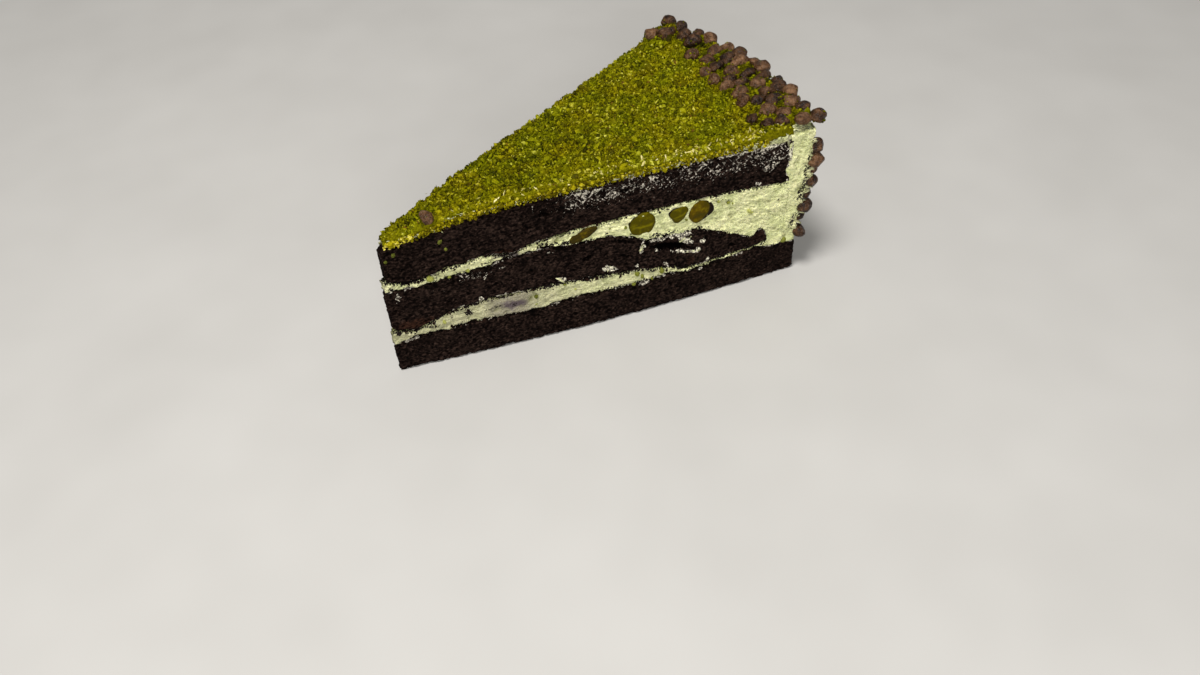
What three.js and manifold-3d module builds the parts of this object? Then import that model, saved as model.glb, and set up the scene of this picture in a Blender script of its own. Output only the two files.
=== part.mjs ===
// A slice of round layered cake, cut at 1/11 of the whole: three dark sponge layers, two cream fillings
// with whole pistachio kernels in the upper one, a cream coat over the top and the round side, ground
// pistachio on top, and chocolate crisp balls along the rim. Millimetres, +Z up, the slice lies flat.
// It is modelled with the whole cake's centre at the origin and +X along the slice's middle, and the
// group then moves it so that the origin is in the middle of its footprint.
import * as THREE from "three";
import { mergeVertices } from "three/addons/utils/BufferGeometryUtils.js";
import Module from "manifold-3d";

const wasm = await Module();
wasm.setup();

// ---- driving dimensions ----
const HALF_ANGLE = THREE.MathUtils.degToRad(16);
const TIP_RADIUS = 2; // the point is blunt, this far from the cake's centre
const TIP_STEP = 1.1; // how much further back each higher layer starts
const BASE_RADIUS = 127.6; // bottom sponge
const MIDDLE_RADIUS = 118; // middle sponge, which stops short of the side
const TOP_RADIUS = 122.2; // top sponge
const COAT_RADIUS = 128; // outside of the cream coat, at its foot
const COAT_LEAN = 2.8; // how much further out the coat stands at the top
const GAP = 0.3; // clearance between neighbouring solids
const COAT_THICKNESS = 1.2; // cream on top of the upper sponge
const CRUMB_THICKNESS = 1.2; // ground pistachio, without its bumps
const CRUMB_BUMP = 0.75; // height of the bumps in it
const CHIP_DIAMETER = 4.7; // chocolate crisp balls
const CHIP_SPREAD = 0.16; // share by which their size varies
const TOP_CHIPS = 58;
const SIDE_CHIPS = 72;
const BED_GRID = 7; // spacing of the grid that the layers' surfaces are drawn on
const CRUMB_GRID = 3.4; // the same for the ground pistachio, about two grains
const SLIVER = 0.02; // detail smaller than this is smoothed away
const CLEAR = 4; // how far a solid that only cuts another reaches past it
const INSIDE_TOP = 40; // a height inside the top sponge, where cutting solids can start
const BOW = 2.2; // how far the near cut's foot bulges between the tip and the rim
const HOLLOW = 1.4; // how far the far cut's top draws in between them

// Heights of the layers' surfaces along the two cuts, as [distance from the tip, height] knots.
// The near cut follows the slice as it was cut, with the middle sponge sagging towards the rim.
const BEDS = {
  baseTop: {
    near: [
      [0, 10.9], [12, 12], [26, 12.3], [42, 11.5], [54, 12.3], [70, 11.8], [82, 11.9], [92, 10.8],
      [104, 11.8], [116, 12.1], [126, 11.3],
    ],
    far: [[0, 10.6], [30, 11.6], [62, 10.8], [92, 11.7], [126, 11]],
  },
  middleFoot: {
    near: [
      [0, 15.8], [7, 14.2], [15, 17.2], [25, 18.9], [50, 18.2], [66, 16.8], [80, 14.9], [90, 12.3],
      [104, 13], [116, 13.4],
    ],
    far: [[0, 15.8], [22, 17.2], [46, 15.9], [72, 17.4], [98, 15.2], [116, 15]],
  },
  middleTop: {
    near: [
      [0, 30.6], [10, 30.2], [24, 30.9], [46, 32.4], [56, 31], [68, 30.4], [77, 26.2], [92, 25.3],
      [104, 20.4], [108, 18.4], [110.4, 17.9], [112.6, 19.3], [114.6, 18.6], [116.4, 14.6],
    ],
    far: [[0, 31], [28, 30], [60, 31.2], [86, 29.4], [104, 29.2], [116, 27.4]],
  },
  topFoot: {
    near: [
      [0, 34.4], [5, 32.4], [10, 31.8], [22, 33.8], [30, 34.5], [37, 33.2], [43, 34.9], [66, 36.1],
      [104, 35.7], [120, 34.2],
    ],
    far: [[0, 34.4], [16, 33.2], [50, 35.1], [80, 34.5], [104, 36], [120, 35.4]],
  },
  topTop: {
    near: [[0, 44.8], [6, 45.4], [16, 46.8], [26, 48.4], [38, 49.3], [70, 49.7], [120, 49.5]],
    far: [[0, 44.8], [14, 46.4], [34, 48.8], [70, 49.9], [120, 49.6]],
  },
};

// Kernels that the cuts go through: distance from the tip, height, half length, half height, and tilt in
// degrees. Side -1 is the near cut.
const KERNELS = [
  { name: "pistachio_near_1", side: -1, at: 57.5, height: 33.8, long: 4.4, tall: 1.6, tilt: 20 },
  { name: "pistachio_near_2", side: -1, at: 75.3, height: 32.4, long: 4, tall: 3.8, tilt: 8 },
  { name: "pistachio_near_3", side: -1, at: 86.4, height: 32.8, long: 2.8, tall: 2.6, tilt: 20 },
  { name: "pistachio_near_4", side: -1, at: 93.6, height: 31.9, long: 3.9, tall: 3.4, tilt: 36 },
  { name: "pistachio_far_1", side: 1, at: 40, height: 32.6, long: 3.1, tall: 1.6, tilt: -10 },
  { name: "pistachio_far_2", side: 1, at: 84, height: 32, long: 3.6, tall: 2.1, tilt: 16 },
  { name: "pistachio_far_3", side: 1, at: 103, height: 32.6, long: 3.4, tall: 2.7, tilt: -24 },
];
const KERNEL_DEPTH = 5.5; // how far a kernel reaches in from its cut

// Balls that lie away from the others: distance from the cake's centre, share of the way across.
const STRAY_CHIPS = [
  { radius: 18, across: 0.14 },
  { radius: 119.6, across: 0.7 },
  { radius: 113.4, across: 0.11 },
];

// Balls at the side's corner with the near cut: share of the way across, height.
const CORNER_CHIPS = [
  { across: 0.012, height: 44.8 },
  { across: 0.004, height: 40.4 },
  { across: 0.03, height: 36.4 },
  { across: 0.008, height: 32.4 },
  { across: 0.02, height: 28.2 },
  { across: 0.004, height: 24 },
  { across: 0.03, height: 19.6 },
  { across: 0, height: 14.8 },
];

// The band of balls on top, as [share of the way across, distance from the centre where it starts] knots.
const CHIP_BAND = [
  [0, 113], [0.15, 116.5], [0.5, 114.5], [0.62, 118], [0.76, 124], [0.9, 121.5], [1, 119.5],
];
const CHIP_EDGE = 128.6; // where it ends, over the side
const CHIP_BREAK = [0.65, 0.74]; // a stretch without any

// ---- colours ----
const finish = (color, roughness) => new THREE.MeshStandardMaterial({ color, roughness, metalness: 0 });
const SPONGE = finish(0x2a1a15, 0.95);
const CREAM = finish(0xd3d9a4, 0.6);
const CRUMB = finish(0x7d7d12, 0.95);
const KERNEL = finish(0x6d6a12, 0.5);

// ---- helpers ----
const smooth = (t) => THREE.MathUtils.smoothstep(t, 0, 1);
const lerp = THREE.MathUtils.lerp;

// A repeatable random source: each call gives the next number from 0 to 1.
function randomSource(seed) {
  let state = seed;
  return () => {
    state = (state * 1664525 + 1013904223) % 4294967296;
    return state / 4294967296;
  };
}

// A slow wave of two unrelated lengths, from -1 to 1, for edges cut and spread by hand.
const wave = (t, phase) => 0.6 * Math.sin(t * 0.31 + phase) + 0.4 * Math.sin(t * 0.83 + 2.1 * phase);

// The height of a smooth curve through knots, held level past its ends.
function curve(knots, at) {
  const last = knots.length - 1;
  if (at <= knots[0][0]) return knots[0][1];
  if (at >= knots[last][0]) return knots[last][1];
  const i = knots.findIndex((k) => k[0] > at) - 1;
  const slope = (a, b) => (knots[b][1] - knots[a][1]) / (knots[b][0] - knots[a][0]);
  const span = knots[i + 1][0] - knots[i][0];
  const start = slope(Math.max(i - 1, 0), i + 1) * span;
  const end = slope(i, Math.min(i + 2, last)) * span;
  const t = (at - knots[i][0]) / span;
  const t2 = t * t;
  const t3 = t2 * t;
  return (
    (2 * t3 - 3 * t2 + 1) * knots[i][1] + (t3 - 2 * t2 + t) * start +
    (3 * t2 - 2 * t3) * knots[i + 1][1] + (t3 - t2) * end
  );
}

// How far across the slice a point is: 0 on the near cut, 1 on the far one.
const across = (x, y) => THREE.MathUtils.clamp(0.5 + Math.atan2(y, x) / (2 * HALF_ANGLE), 0, 1);

// The height of a layer's surface over a point of the plan.
function bed(name, x, y) {
  const distance = Math.hypot(x, y) - TIP_RADIUS;
  const share = smooth(across(x, y));
  const inside = Math.sin(Math.PI * share); // the surfaces ripple a little between the cuts
  return (
    lerp(curve(BEDS[name].near, distance), curve(BEDS[name].far, distance), share) +
    0.35 * inside * wave(x + 0.7 * y, name.length)
  );
}
const coatTop = (x, y) => bed("topTop", x, y) + COAT_THICKNESS + GAP;

// ---- solids ----
function solidOf(geometry) {
  const bare = new THREE.BufferGeometry();
  const source = geometry.index ? geometry.toNonIndexed() : geometry;
  bare.setAttribute("position", source.getAttribute("position"));
  const merged = mergeVertices(bare, 1e-4);
  return new wasm.Manifold(
    new wasm.Mesh({
      numProp: 3,
      vertProperties: new Float32Array(merged.attributes.position.array),
      triVerts: new Uint32Array(merged.index.array),
    }),
  );
}

function geometryOf(solid) {
  const mesh = solid.getMesh();
  const positions = new Float32Array(mesh.numVert * 3);
  for (let i = 0; i < mesh.numVert; i++) {
    for (let k = 0; k < 3; k++) positions[3 * i + k] = mesh.vertProperties[mesh.numProp * i + k];
  }
  return new THREE.BufferGeometry()
    .setAttribute("position", new THREE.BufferAttribute(positions, 3))
    .setIndex(new THREE.BufferAttribute(new Uint32Array(mesh.triVerts), 1));
}

// The largest body of a solid, without scraps that a cut has set loose, and without needless slivers.
function mainBody(solid) {
  const bodies = solid.simplify(SLIVER).decompose();
  return bodies.reduce((best, body) => (body.volume() > best.volume() ? body : best));
}

// Everything between two surfaces, on a grid that covers the whole slice.
function slab(lower, upper, spacing) {
  const reach = COAT_RADIUS + 2 * CLEAR;
  const halfWidth = reach * Math.sin(HALF_ANGLE) + CLEAR;
  const columns = Math.ceil(reach / spacing);
  const rows = Math.ceil((2 * halfWidth) / spacing);
  const positions = [];
  const index = [];
  for (const surface of [lower, upper]) {
    for (let i = 0; i <= columns; i++) {
      for (let j = 0; j <= rows; j++) {
        const x = (reach * i) / columns;
        const y = lerp(-halfWidth, halfWidth, j / rows);
        positions.push(x, y, surface(x, y));
      }
    }
  }
  const count = (columns + 1) * (rows + 1);
  const at = (i, j) => i * (rows + 1) + j;
  const quad = (a, b, c, d) => index.push(a, b, c, a, c, d);
  for (let i = 0; i < columns; i++) {
    for (let j = 0; j < rows; j++) {
      index.push(at(i, j), at(i, j + 1), at(i + 1, j + 1), at(i, j), at(i + 1, j + 1), at(i + 1, j));
      quad(count + at(i, j), count + at(i + 1, j), count + at(i + 1, j + 1), count + at(i, j + 1));
    }
  }
  const wall = (a, b) => quad(b, a, count + a, count + b);
  for (let i = 0; i < columns; i++) {
    wall(at(i + 1, 0), at(i, 0));
    wall(at(i, rows), at(i + 1, rows));
  }
  for (let j = 0; j < rows; j++) {
    wall(at(0, j), at(0, j + 1));
    wall(at(columns, j + 1), at(columns, j));
  }
  const geometry = new THREE.BufferGeometry();
  geometry.setAttribute("position", new THREE.Float32BufferAttribute(positions, 3));
  geometry.setIndex(index);
  return solidOf(geometry);
}

// A point of the plan: distance from the cake's centre along a cut, and distance in from that cut.
function planPoint(side, radius, inset) {
  return new THREE.Vector2(
    radius * Math.cos(HALF_ANGLE) + inset * Math.sin(HALF_ANGLE),
    side * (radius * Math.sin(HALF_ANGLE) - inset * Math.cos(HALF_ANGLE)),
  );
}

// The slice's plan out to a radius, as a tall prism. ragged makes the cuts and the rim uneven, and step
// says how many layers up it is.
function prism(radius, { inset = 0, ragged = 0, phase = 1, step = 0 } = {}) {
  const CUT_STEPS = 16;
  const ARC_STEPS = 12;
  const FOOT = -10;
  const HEIGHT = 80;
  const tip = TIP_RADIUS + step * TIP_STEP;
  const points = [];
  for (let i = 0; i <= CUT_STEPS; i++) {
    const along = lerp(tip, radius, i / CUT_STEPS);
    points.push(planPoint(-1, along, inset + ragged * (0.5 + 0.5 * wave(along, phase))));
  }
  for (let i = 1; i < ARC_STEPS; i++) {
    const angle = lerp(-HALF_ANGLE, HALF_ANGLE, i / ARC_STEPS);
    const out = radius - ragged * (0.5 + 0.5 * wave(40 * angle, phase + 2));
    points.push(new THREE.Vector2(out * Math.cos(angle), out * Math.sin(angle)));
  }
  for (let i = CUT_STEPS; i >= 0; i--) {
    const along = lerp(tip, radius, i / CUT_STEPS);
    points.push(planPoint(1, along, inset + ragged * (0.5 + 0.5 * wave(along, phase + 4))));
  }
  const plan = new THREE.Shape(points);
  const geometry = new THREE.ExtrudeGeometry(plan, { depth: HEIGHT, bevelEnabled: false });
  return solidOf(geometry.translate(0, 0, FOOT));
}

// ---- unevenness that every solid shares, so that neighbours stay clear of each other ----
function settle(solid) {
  return solid.warp((v) => {
    const radius = Math.hypot(v[0], v[1]);
    const share = THREE.MathUtils.clamp((radius - TIP_RADIUS) / (BASE_RADIUS - TIP_RADIUS), 0, 1);
    // The near cut bulges at its foot.
    const near = Math.pow(1 - across(v[0], v[1]), 3);
    const low = 1 - smooth(v[2] / 30);
    const bow = BOW * near * low * Math.sin(Math.PI * share);
    v[0] -= bow * Math.sin(HALF_ANGLE);
    v[1] -= bow * Math.cos(HALF_ANGLE);
    // The far cut draws in at its top.
    const far = Math.pow(across(v[0], v[1]), 3);
    const draw = HOLLOW * far * smooth((v[2] - 14) / 34) * Math.sin(Math.PI * share);
    v[0] += draw * Math.sin(HALF_ANGLE);
    v[1] -= draw * Math.cos(HALF_ANGLE);
    // The coated side leans out towards the top.
    const rim = smooth((radius - MIDDLE_RADIUS) / (COAT_RADIUS - MIDDLE_RADIUS));
    const lean = (COAT_LEAN * rim * smooth((v[2] - 12) / 32)) / radius;
    v[0] += v[0] * lean;
    v[1] += v[1] * lean;
  });
}

// ---- sub-parts ----
const floor = () => 0;
const above = (name, by) => (x, y) => bed(name, x, y) + by;

function spongeBottom() {
  return prism(BASE_RADIUS, { ragged: 0.7, phase: 1 }).intersect(
    slab(floor, above("baseTop", 0), BED_GRID),
  );
}

function spongeMiddle() {
  const whole = prism(MIDDLE_RADIUS, { ragged: 0.5, phase: 2, step: 0.6 }).intersect(
    slab(above("middleFoot", 0), above("middleTop", 0), BED_GRID),
  );
  return whole.subtract(tear());
}

function spongeTop() {
  return prism(TOP_RADIUS, { ragged: 0.6, phase: 3, step: 2 }).intersect(
    slab(above("topFoot", 0), above("topTop", 0), BED_GRID),
  );
}

// The split in the middle sponge where its crumb has torn and folded, seen on the near cut.
function tear() {
  const TEAR = { at: 84, height: 21.8, long: 7.5, tall: 1.3, deep: 3.2, tilt: -17 };
  return kernelShape(TEAR, TEAR.deep, 0).translate(...cutPoint(-1, TEAR.at, 0, TEAR.height));
}

function creamLower() {
  return prism(MIDDLE_RADIUS, { ragged: 0.4, phase: 2.5, step: 0.3 }).intersect(
    slab(above("baseTop", GAP), above("middleFoot", -GAP), BED_GRID),
  );
}

// The upper filling, which closes down round the end of the middle sponge.
function creamUpper() {
  const filling = prism(TOP_RADIUS, { step: 1.4 }).intersect(
    slab(above("baseTop", GAP), above("topFoot", -GAP), BED_GRID),
  );
  const middle = prism(MIDDLE_RADIUS + GAP, { inset: -CLEAR }).intersect(
    slab(above("baseTop", -GAP), above("middleTop", GAP), BED_GRID),
  );
  let cream = filling.subtract(middle);
  for (const kernel of KERNELS) cream = cream.subtract(kernelSolid(kernel, GAP));
  return cream;
}

// The cream over the top and the round side, with the side's chocolate balls pressed into it.
function creamCoat() {
  const body = prism(COAT_RADIUS, { ragged: 0.5, phase: 4, step: 2.4 }).intersect(
    slab(above("baseTop", GAP), coatTop, BED_GRID),
  );
  const inner = prism(TOP_RADIUS + GAP, { inset: -CLEAR }).intersect(
    slab(floor, above("topTop", GAP), BED_GRID),
  );
  const below = prism(COAT_RADIUS + 2 * CLEAR, { inset: -CLEAR }).intersect(
    slab(floor, above("baseTop", GAP), BED_GRID),
  );
  let coat = body.subtract(inner);
  for (const ball of sideChips()) coat = coat.add(ball);
  return coat.subtract(below);
}

// The ground pistachio, with the balls that lie on it.
function crumbTop() {
  const random = randomSource(11);
  const bumpy = (x, y) => coatTop(x, y) + GAP + CRUMB_THICKNESS + CRUMB_BUMP * (random() - 0.5);
  const layer = prism(COAT_RADIUS - 1.2, { inset: 0.4, ragged: 1.1, phase: 5, step: 1.8 }).intersect(
    slab(() => INSIDE_TOP, bumpy, CRUMB_GRID),
  );
  const below = prism(COAT_RADIUS + 2 * CLEAR, { inset: -CLEAR }).intersect(
    slab(() => INSIDE_TOP, (x, y) => coatTop(x, y) + GAP, BED_GRID),
  );
  let crumb = layer;
  for (const ball of topChips()) crumb = crumb.add(ball);
  return crumb.subtract(below);
}

// A kernel lies across its cut: a long flattened ball, tilted in the plane of the cut.
function kernelShape({ side = -1, long, tall, tilt }, deep, grow) {
  const shape = new THREE.SphereGeometry(1, 12, 8);
  shape.scale(long + grow, deep + grow, tall + grow);
  shape.rotateY(THREE.MathUtils.degToRad(-tilt));
  shape.rotateZ(side * HALF_ANGLE);
  return solidOf(shape);
}

// A point on a cut: distance from the tip, distance in from the cut, height.
function cutPoint(side, at, inset, height) {
  const p = planPoint(side, TIP_RADIUS + at, inset);
  return [p.x, p.y, height];
}

function kernelSolid(kernel, grow = 0) {
  const { side, at, height } = kernel;
  return kernelShape(kernel, KERNEL_DEPTH, grow).translate(...cutPoint(side, at, 0, height));
}

function kernelPart(kernel) {
  const fill = prism(TOP_RADIUS).intersect(
    slab(above("middleTop", 2 * GAP), above("topFoot", -2 * GAP), BED_GRID),
  );
  return kernelSolid(kernel).intersect(fill);
}

// ---- chocolate balls ----
function ball(random, [x, y, z]) {
  const shape = new THREE.IcosahedronGeometry(1, 0);
  const size = (CHIP_DIAMETER / 2) * (1 + CHIP_SPREAD * (2 * random() - 1));
  shape.scale(size, size * (0.85 + 0.2 * random()), size * (0.85 + 0.2 * random()));
  shape.rotateX(2 * Math.PI * random());
  shape.rotateZ(2 * Math.PI * random());
  return solidOf(shape).translate(x, y, z);
}

// Places that keep a distance from each other, tried in turn until there are enough.
function scatter(random, count, distance, place, first = []) {
  const TRIES = 6000;
  const found = [...first];
  const clear = (p) => found.every((q) => Math.hypot(p[0] - q[0], p[1] - q[1], p[2] - q[2]) > distance);
  for (let tries = 0; tries < TRIES && found.length < count; tries++) {
    const p = place(random);
    if (p && clear(p)) found.push(p);
  }
  return found;
}

// On top they lie in a band along the rim.
function topChipPlaces(random) {
  const rest = (radius, share) => {
    const angle = lerp(-HALF_ANGLE, HALF_ANGLE, share);
    const x = radius * Math.cos(angle);
    const y = radius * Math.sin(angle);
    return [x, y, coatTop(x, y) + GAP + CRUMB_THICKNESS + 0.3 * CHIP_DIAMETER];
  };
  const place = () => {
    const share = lerp(0.02, 0.98, random());
    const radius = lerp(CHIP_BAND[0][1], CHIP_EDGE, Math.sqrt(random()));
    const bare = share > CHIP_BREAK[0] && share < CHIP_BREAK[1];
    return bare || radius < curve(CHIP_BAND, share) ? null : rest(radius, share);
  };
  const strays = STRAY_CHIPS.map(({ radius, across: share }) => rest(radius, share));
  return scatter(random, TOP_CHIPS, 0.78 * CHIP_DIAMETER, place, strays);
}

function topChips() {
  const random = randomSource(23);
  return topChipPlaces(random).map((p) => ball(random, p));
}

// On the round side, spread evenly from the foot of the coat to its top.
function sideChipPlaces(random) {
  const rest = (share, height) => {
    const angle = lerp(-HALF_ANGLE, HALF_ANGLE, share);
    const radius = COAT_RADIUS + 0.12 * CHIP_DIAMETER;
    return [radius * Math.cos(angle), radius * Math.sin(angle), height];
  };
  const place = () => rest(lerp(0.02, 0.98, random()), lerp(14.2, 48, random()));
  const corner = CORNER_CHIPS.map(({ across: share, height }) => rest(share, height));
  return scatter(random, SIDE_CHIPS, 0.94 * CHIP_DIAMETER, place, corner);
}

function sideChips() {
  const random = randomSource(37);
  return sideChipPlaces(random).map((p) => ball(random, p));
}

// ---- the slice ----
const slice = new THREE.Group();
const add = (name, solid, material) => {
  const mesh = new THREE.Mesh(geometryOf(mainBody(settle(solid))), material);
  mesh.name = name;
  slice.add(mesh);
};
add("sponge_bottom", spongeBottom(), SPONGE);
add("cream_lower", creamLower(), CREAM);
add("sponge_middle", spongeMiddle(), SPONGE);
add("cream_upper", creamUpper(), CREAM);
add("sponge_top", spongeTop(), SPONGE);
add("cream_coat", creamCoat(), CREAM);
add("pistachio_crumb", crumbTop(), CRUMB);
for (const kernel of KERNELS) add(kernel.name, kernelPart(kernel), KERNEL);

const extent = new THREE.Box3().setFromObject(slice);
const middle = extent.getCenter(new THREE.Vector3());
slice.position.set(-middle.x, -middle.y, -extent.min.z);

const part = new THREE.Group();
part.add(slice);
export default part;
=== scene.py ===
import math

import bmesh
import bpy
import numpy as np
from mathutils import Matrix, Quaternion, Vector


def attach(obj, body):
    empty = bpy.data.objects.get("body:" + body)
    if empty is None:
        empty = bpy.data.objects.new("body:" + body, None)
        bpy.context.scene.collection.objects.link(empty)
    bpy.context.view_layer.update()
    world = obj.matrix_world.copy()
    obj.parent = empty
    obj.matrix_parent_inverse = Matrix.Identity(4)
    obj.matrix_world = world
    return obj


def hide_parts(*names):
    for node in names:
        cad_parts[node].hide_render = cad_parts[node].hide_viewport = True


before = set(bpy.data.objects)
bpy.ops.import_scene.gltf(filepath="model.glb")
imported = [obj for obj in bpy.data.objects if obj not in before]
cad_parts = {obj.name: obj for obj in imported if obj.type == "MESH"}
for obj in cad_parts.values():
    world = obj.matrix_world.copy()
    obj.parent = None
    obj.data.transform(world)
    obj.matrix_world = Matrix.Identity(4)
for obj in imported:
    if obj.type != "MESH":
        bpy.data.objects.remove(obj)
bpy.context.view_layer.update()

MM = 0.001

# ---- driving dimensions, as in the solids ----
CAKE_CENTRE = np.array([-67.830, 0.820, 0]) * MM  # the whole cake's centre in the frame
HALF_ANGLE = math.radians(16)
TIP_RADIUS = 2 * MM
TIP_STEP = 1.1 * MM
BASE_RADIUS = 127.6 * MM
MIDDLE_RADIUS = 118 * MM
TOP_RADIUS = 122.2 * MM
COAT_RADIUS = 128 * MM
COAT_LEAN = 2.8 * MM
GAP = 0.3 * MM
COAT_THICKNESS = 1.2 * MM
CRUMB_THICKNESS = 1.2 * MM
CHIP_DIAMETER = 4.7 * MM
CHIP_SPREAD = 0.16  # share by which their size varies
CHIP_MARGIN = 0.02  # share of the way across that stays clear at each cut
TOP_CHIPS = 58
TOP_SPACING = 0.78 * CHIP_DIAMETER  # between the middles of neighbours, at least
TOP_LIFT = 0.3 * CHIP_DIAMETER  # from the ground pistachio up to their middles
SIDE_CHIPS = 72
SIDE_SPACING = 0.94 * CHIP_DIAMETER
SIDE_REACH = 0.12 * CHIP_DIAMETER  # from the coat out to their middles
SIDE_LOW, SIDE_HIGH = 14.2, 48  # the heights that they lie between, in mm
CRUMB_TIP = 5.4 * MM  # where the ground pistachio starts, from the centre
BOW = 2.2 * MM  # how far the near cut's foot bulges
BOW_TOP = 30 * MM  # where that ends
HOLLOW = 1.4 * MM  # how far the far cut's top draws in
HOLLOW_FOOT, HOLLOW_RISE = 14 * MM, 34 * MM  # where that starts, and the height over which it grows
LEAN_FOOT, LEAN_RISE = 12 * MM, 32 * MM  # the same for the coat's lean
RIPPLE = 0.35  # unevenness between the cuts, in mm

# Here and in the tables below, lengths are in mm and tilts in degrees.
# Heights of the layers' surfaces along the near and the far cut: distance from the tip and height.
BEDS = {
    "baseTop": {
        "near": [(0, 10.9), (12, 12), (26, 12.3), (42, 11.5), (54, 12.3), (70, 11.8), (82, 11.9),
                 (92, 10.8), (104, 11.8), (116, 12.1), (126, 11.3)],
        "far": [(0, 10.6), (30, 11.6), (62, 10.8), (92, 11.7), (126, 11)],
    },
    "middleFoot": {
        "near": [(0, 15.8), (7, 14.2), (15, 17.2), (25, 18.9), (50, 18.2), (66, 16.8), (80, 14.9),
                 (90, 12.3), (104, 13), (116, 13.4)],
        "far": [(0, 15.8), (22, 17.2), (46, 15.9), (72, 17.4), (98, 15.2), (116, 15)],
    },
    "middleTop": {
        "near": [(0, 30.6), (10, 30.2), (24, 30.9), (46, 32.4), (56, 31), (68, 30.4), (77, 26.2),
                 (92, 25.3), (104, 20.4), (108, 18.4), (110.4, 17.9), (112.6, 19.3), (114.6, 18.6),
                 (116.4, 14.6)],
        "far": [(0, 31), (28, 30), (60, 31.2), (86, 29.4), (104, 29.2), (116, 27.4)],
    },
    "topFoot": {
        "near": [(0, 34.4), (5, 32.4), (10, 31.8), (22, 33.8), (30, 34.5), (37, 33.2), (43, 34.9),
                 (66, 36.1), (104, 35.7), (120, 34.2)],
        "far": [(0, 34.4), (16, 33.2), (50, 35.1), (80, 34.5), (104, 36), (120, 35.4)],
    },
    "topTop": {
        "near": [(0, 44.8), (6, 45.4), (16, 46.8), (26, 48.4), (38, 49.3), (70, 49.7), (120, 49.5)],
        "far": [(0, 44.8), (14, 46.4), (34, 48.8), (70, 49.9), (120, 49.6)],
    },
}

# Kernels in the cuts: side (-1 is the near cut), distance from the tip, height, half length, half height
# and tilt; how far three blunt corners stand out, and the angles from the long axis at which they start and
# at which the skin is thickest; how thick it is there; and how far the colour goes to amber and to olive.
KERNELS = {
    "pistachio_near_1": (-1, 57.5, 33.8, 4.4, 1.6, 20, 0.04, 0, 200, 0.1, 0.9, 1.5),
    "pistachio_near_2": (-1, 75.3, 32.4, 4, 3.8, 8, 0.03, 40, 140, 0.12, 0.05, 0),
    "pistachio_near_3": (-1, 86.4, 32.8, 2.8, 2.6, 20, 0.13, 250, 150, 0.1, 0.05, 0.1),
    "pistachio_near_4": (-1, 93.4, 31.9, 3.9, 3.4, 36, 0.05, 200, 310, 0.5, 0.8, 0.45),
    "pistachio_far_1": (1, 40, 32.6, 3.1, 1.6, -10, 0.05, 30, 90, 0.12, 0.5, 0.3),
    "pistachio_far_2": (1, 84, 32, 3.6, 2.1, 16, 0.06, 80, 10, 0.12, 0.1, 0),
    "pistachio_far_3": (1, 103, 32.6, 3.4, 2.7, -24, 0.08, 140, 220, 0.2, 0.5, 0.2),
}
# Splits and holes where the crumb has torn on the near cut: the same as far as the tilt, then the depth.
TEARS = [
    (83.8, 21.6, 5, 1.35, -14, 4), (85, 21, 7.8, 0.55, -17.5, 3), (76.9, 24.3, 1.7, 0.4, 85, 3),
    (95.2, 21.6, 0.7, 0.7, 0, 2.5), (68.8, 27.7, 4.6, 0.5, -18, 3), (47, 44, 1.8, 0.7, -20, 2),
    (58.6, 24.8, 1.4, 1, 0, 2), (41.6, 25.2, 1.2, 0.7, 0, 1.5), (20, 28.4, 2.6, 0.4, 10, 1.5),
    (31, 23.8, 1.6, 0.5, 20, 1.5), (70, 45.4, 1.4, 0.6, 0, 1.5), (104, 16.2, 1.2, 0.6, -20, 1.5),
    (51, 30.6, 2.6, 0.45, -20, 2.5),
]

# Balls away from the band: distance from the centre and share of the way across. The band itself: share of
# the way across and the distance at which it starts. The balls at the side's corner with the near cut:
# share of the way across and height.
STRAY_CHIPS = [(18, 0.14), (119.6, 0.7), (113.4, 0.11)]
CHIP_BAND = [(0, 113), (0.15, 116.5), (0.5, 114.5), (0.62, 118), (0.76, 124), (0.9, 121.5), (1, 119.5)]
CHIP_EDGE = 128.6 * MM
CHIP_BREAK = (0.65, 0.74)
CORNER_CHIPS = [(0.012, 44.8), (0.004, 40.4), (0.03, 36.4), (0.008, 32.4), (0.02, 28.2), (0.004, 24),
                (0.03, 19.6), (0, 14.8)]

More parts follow.
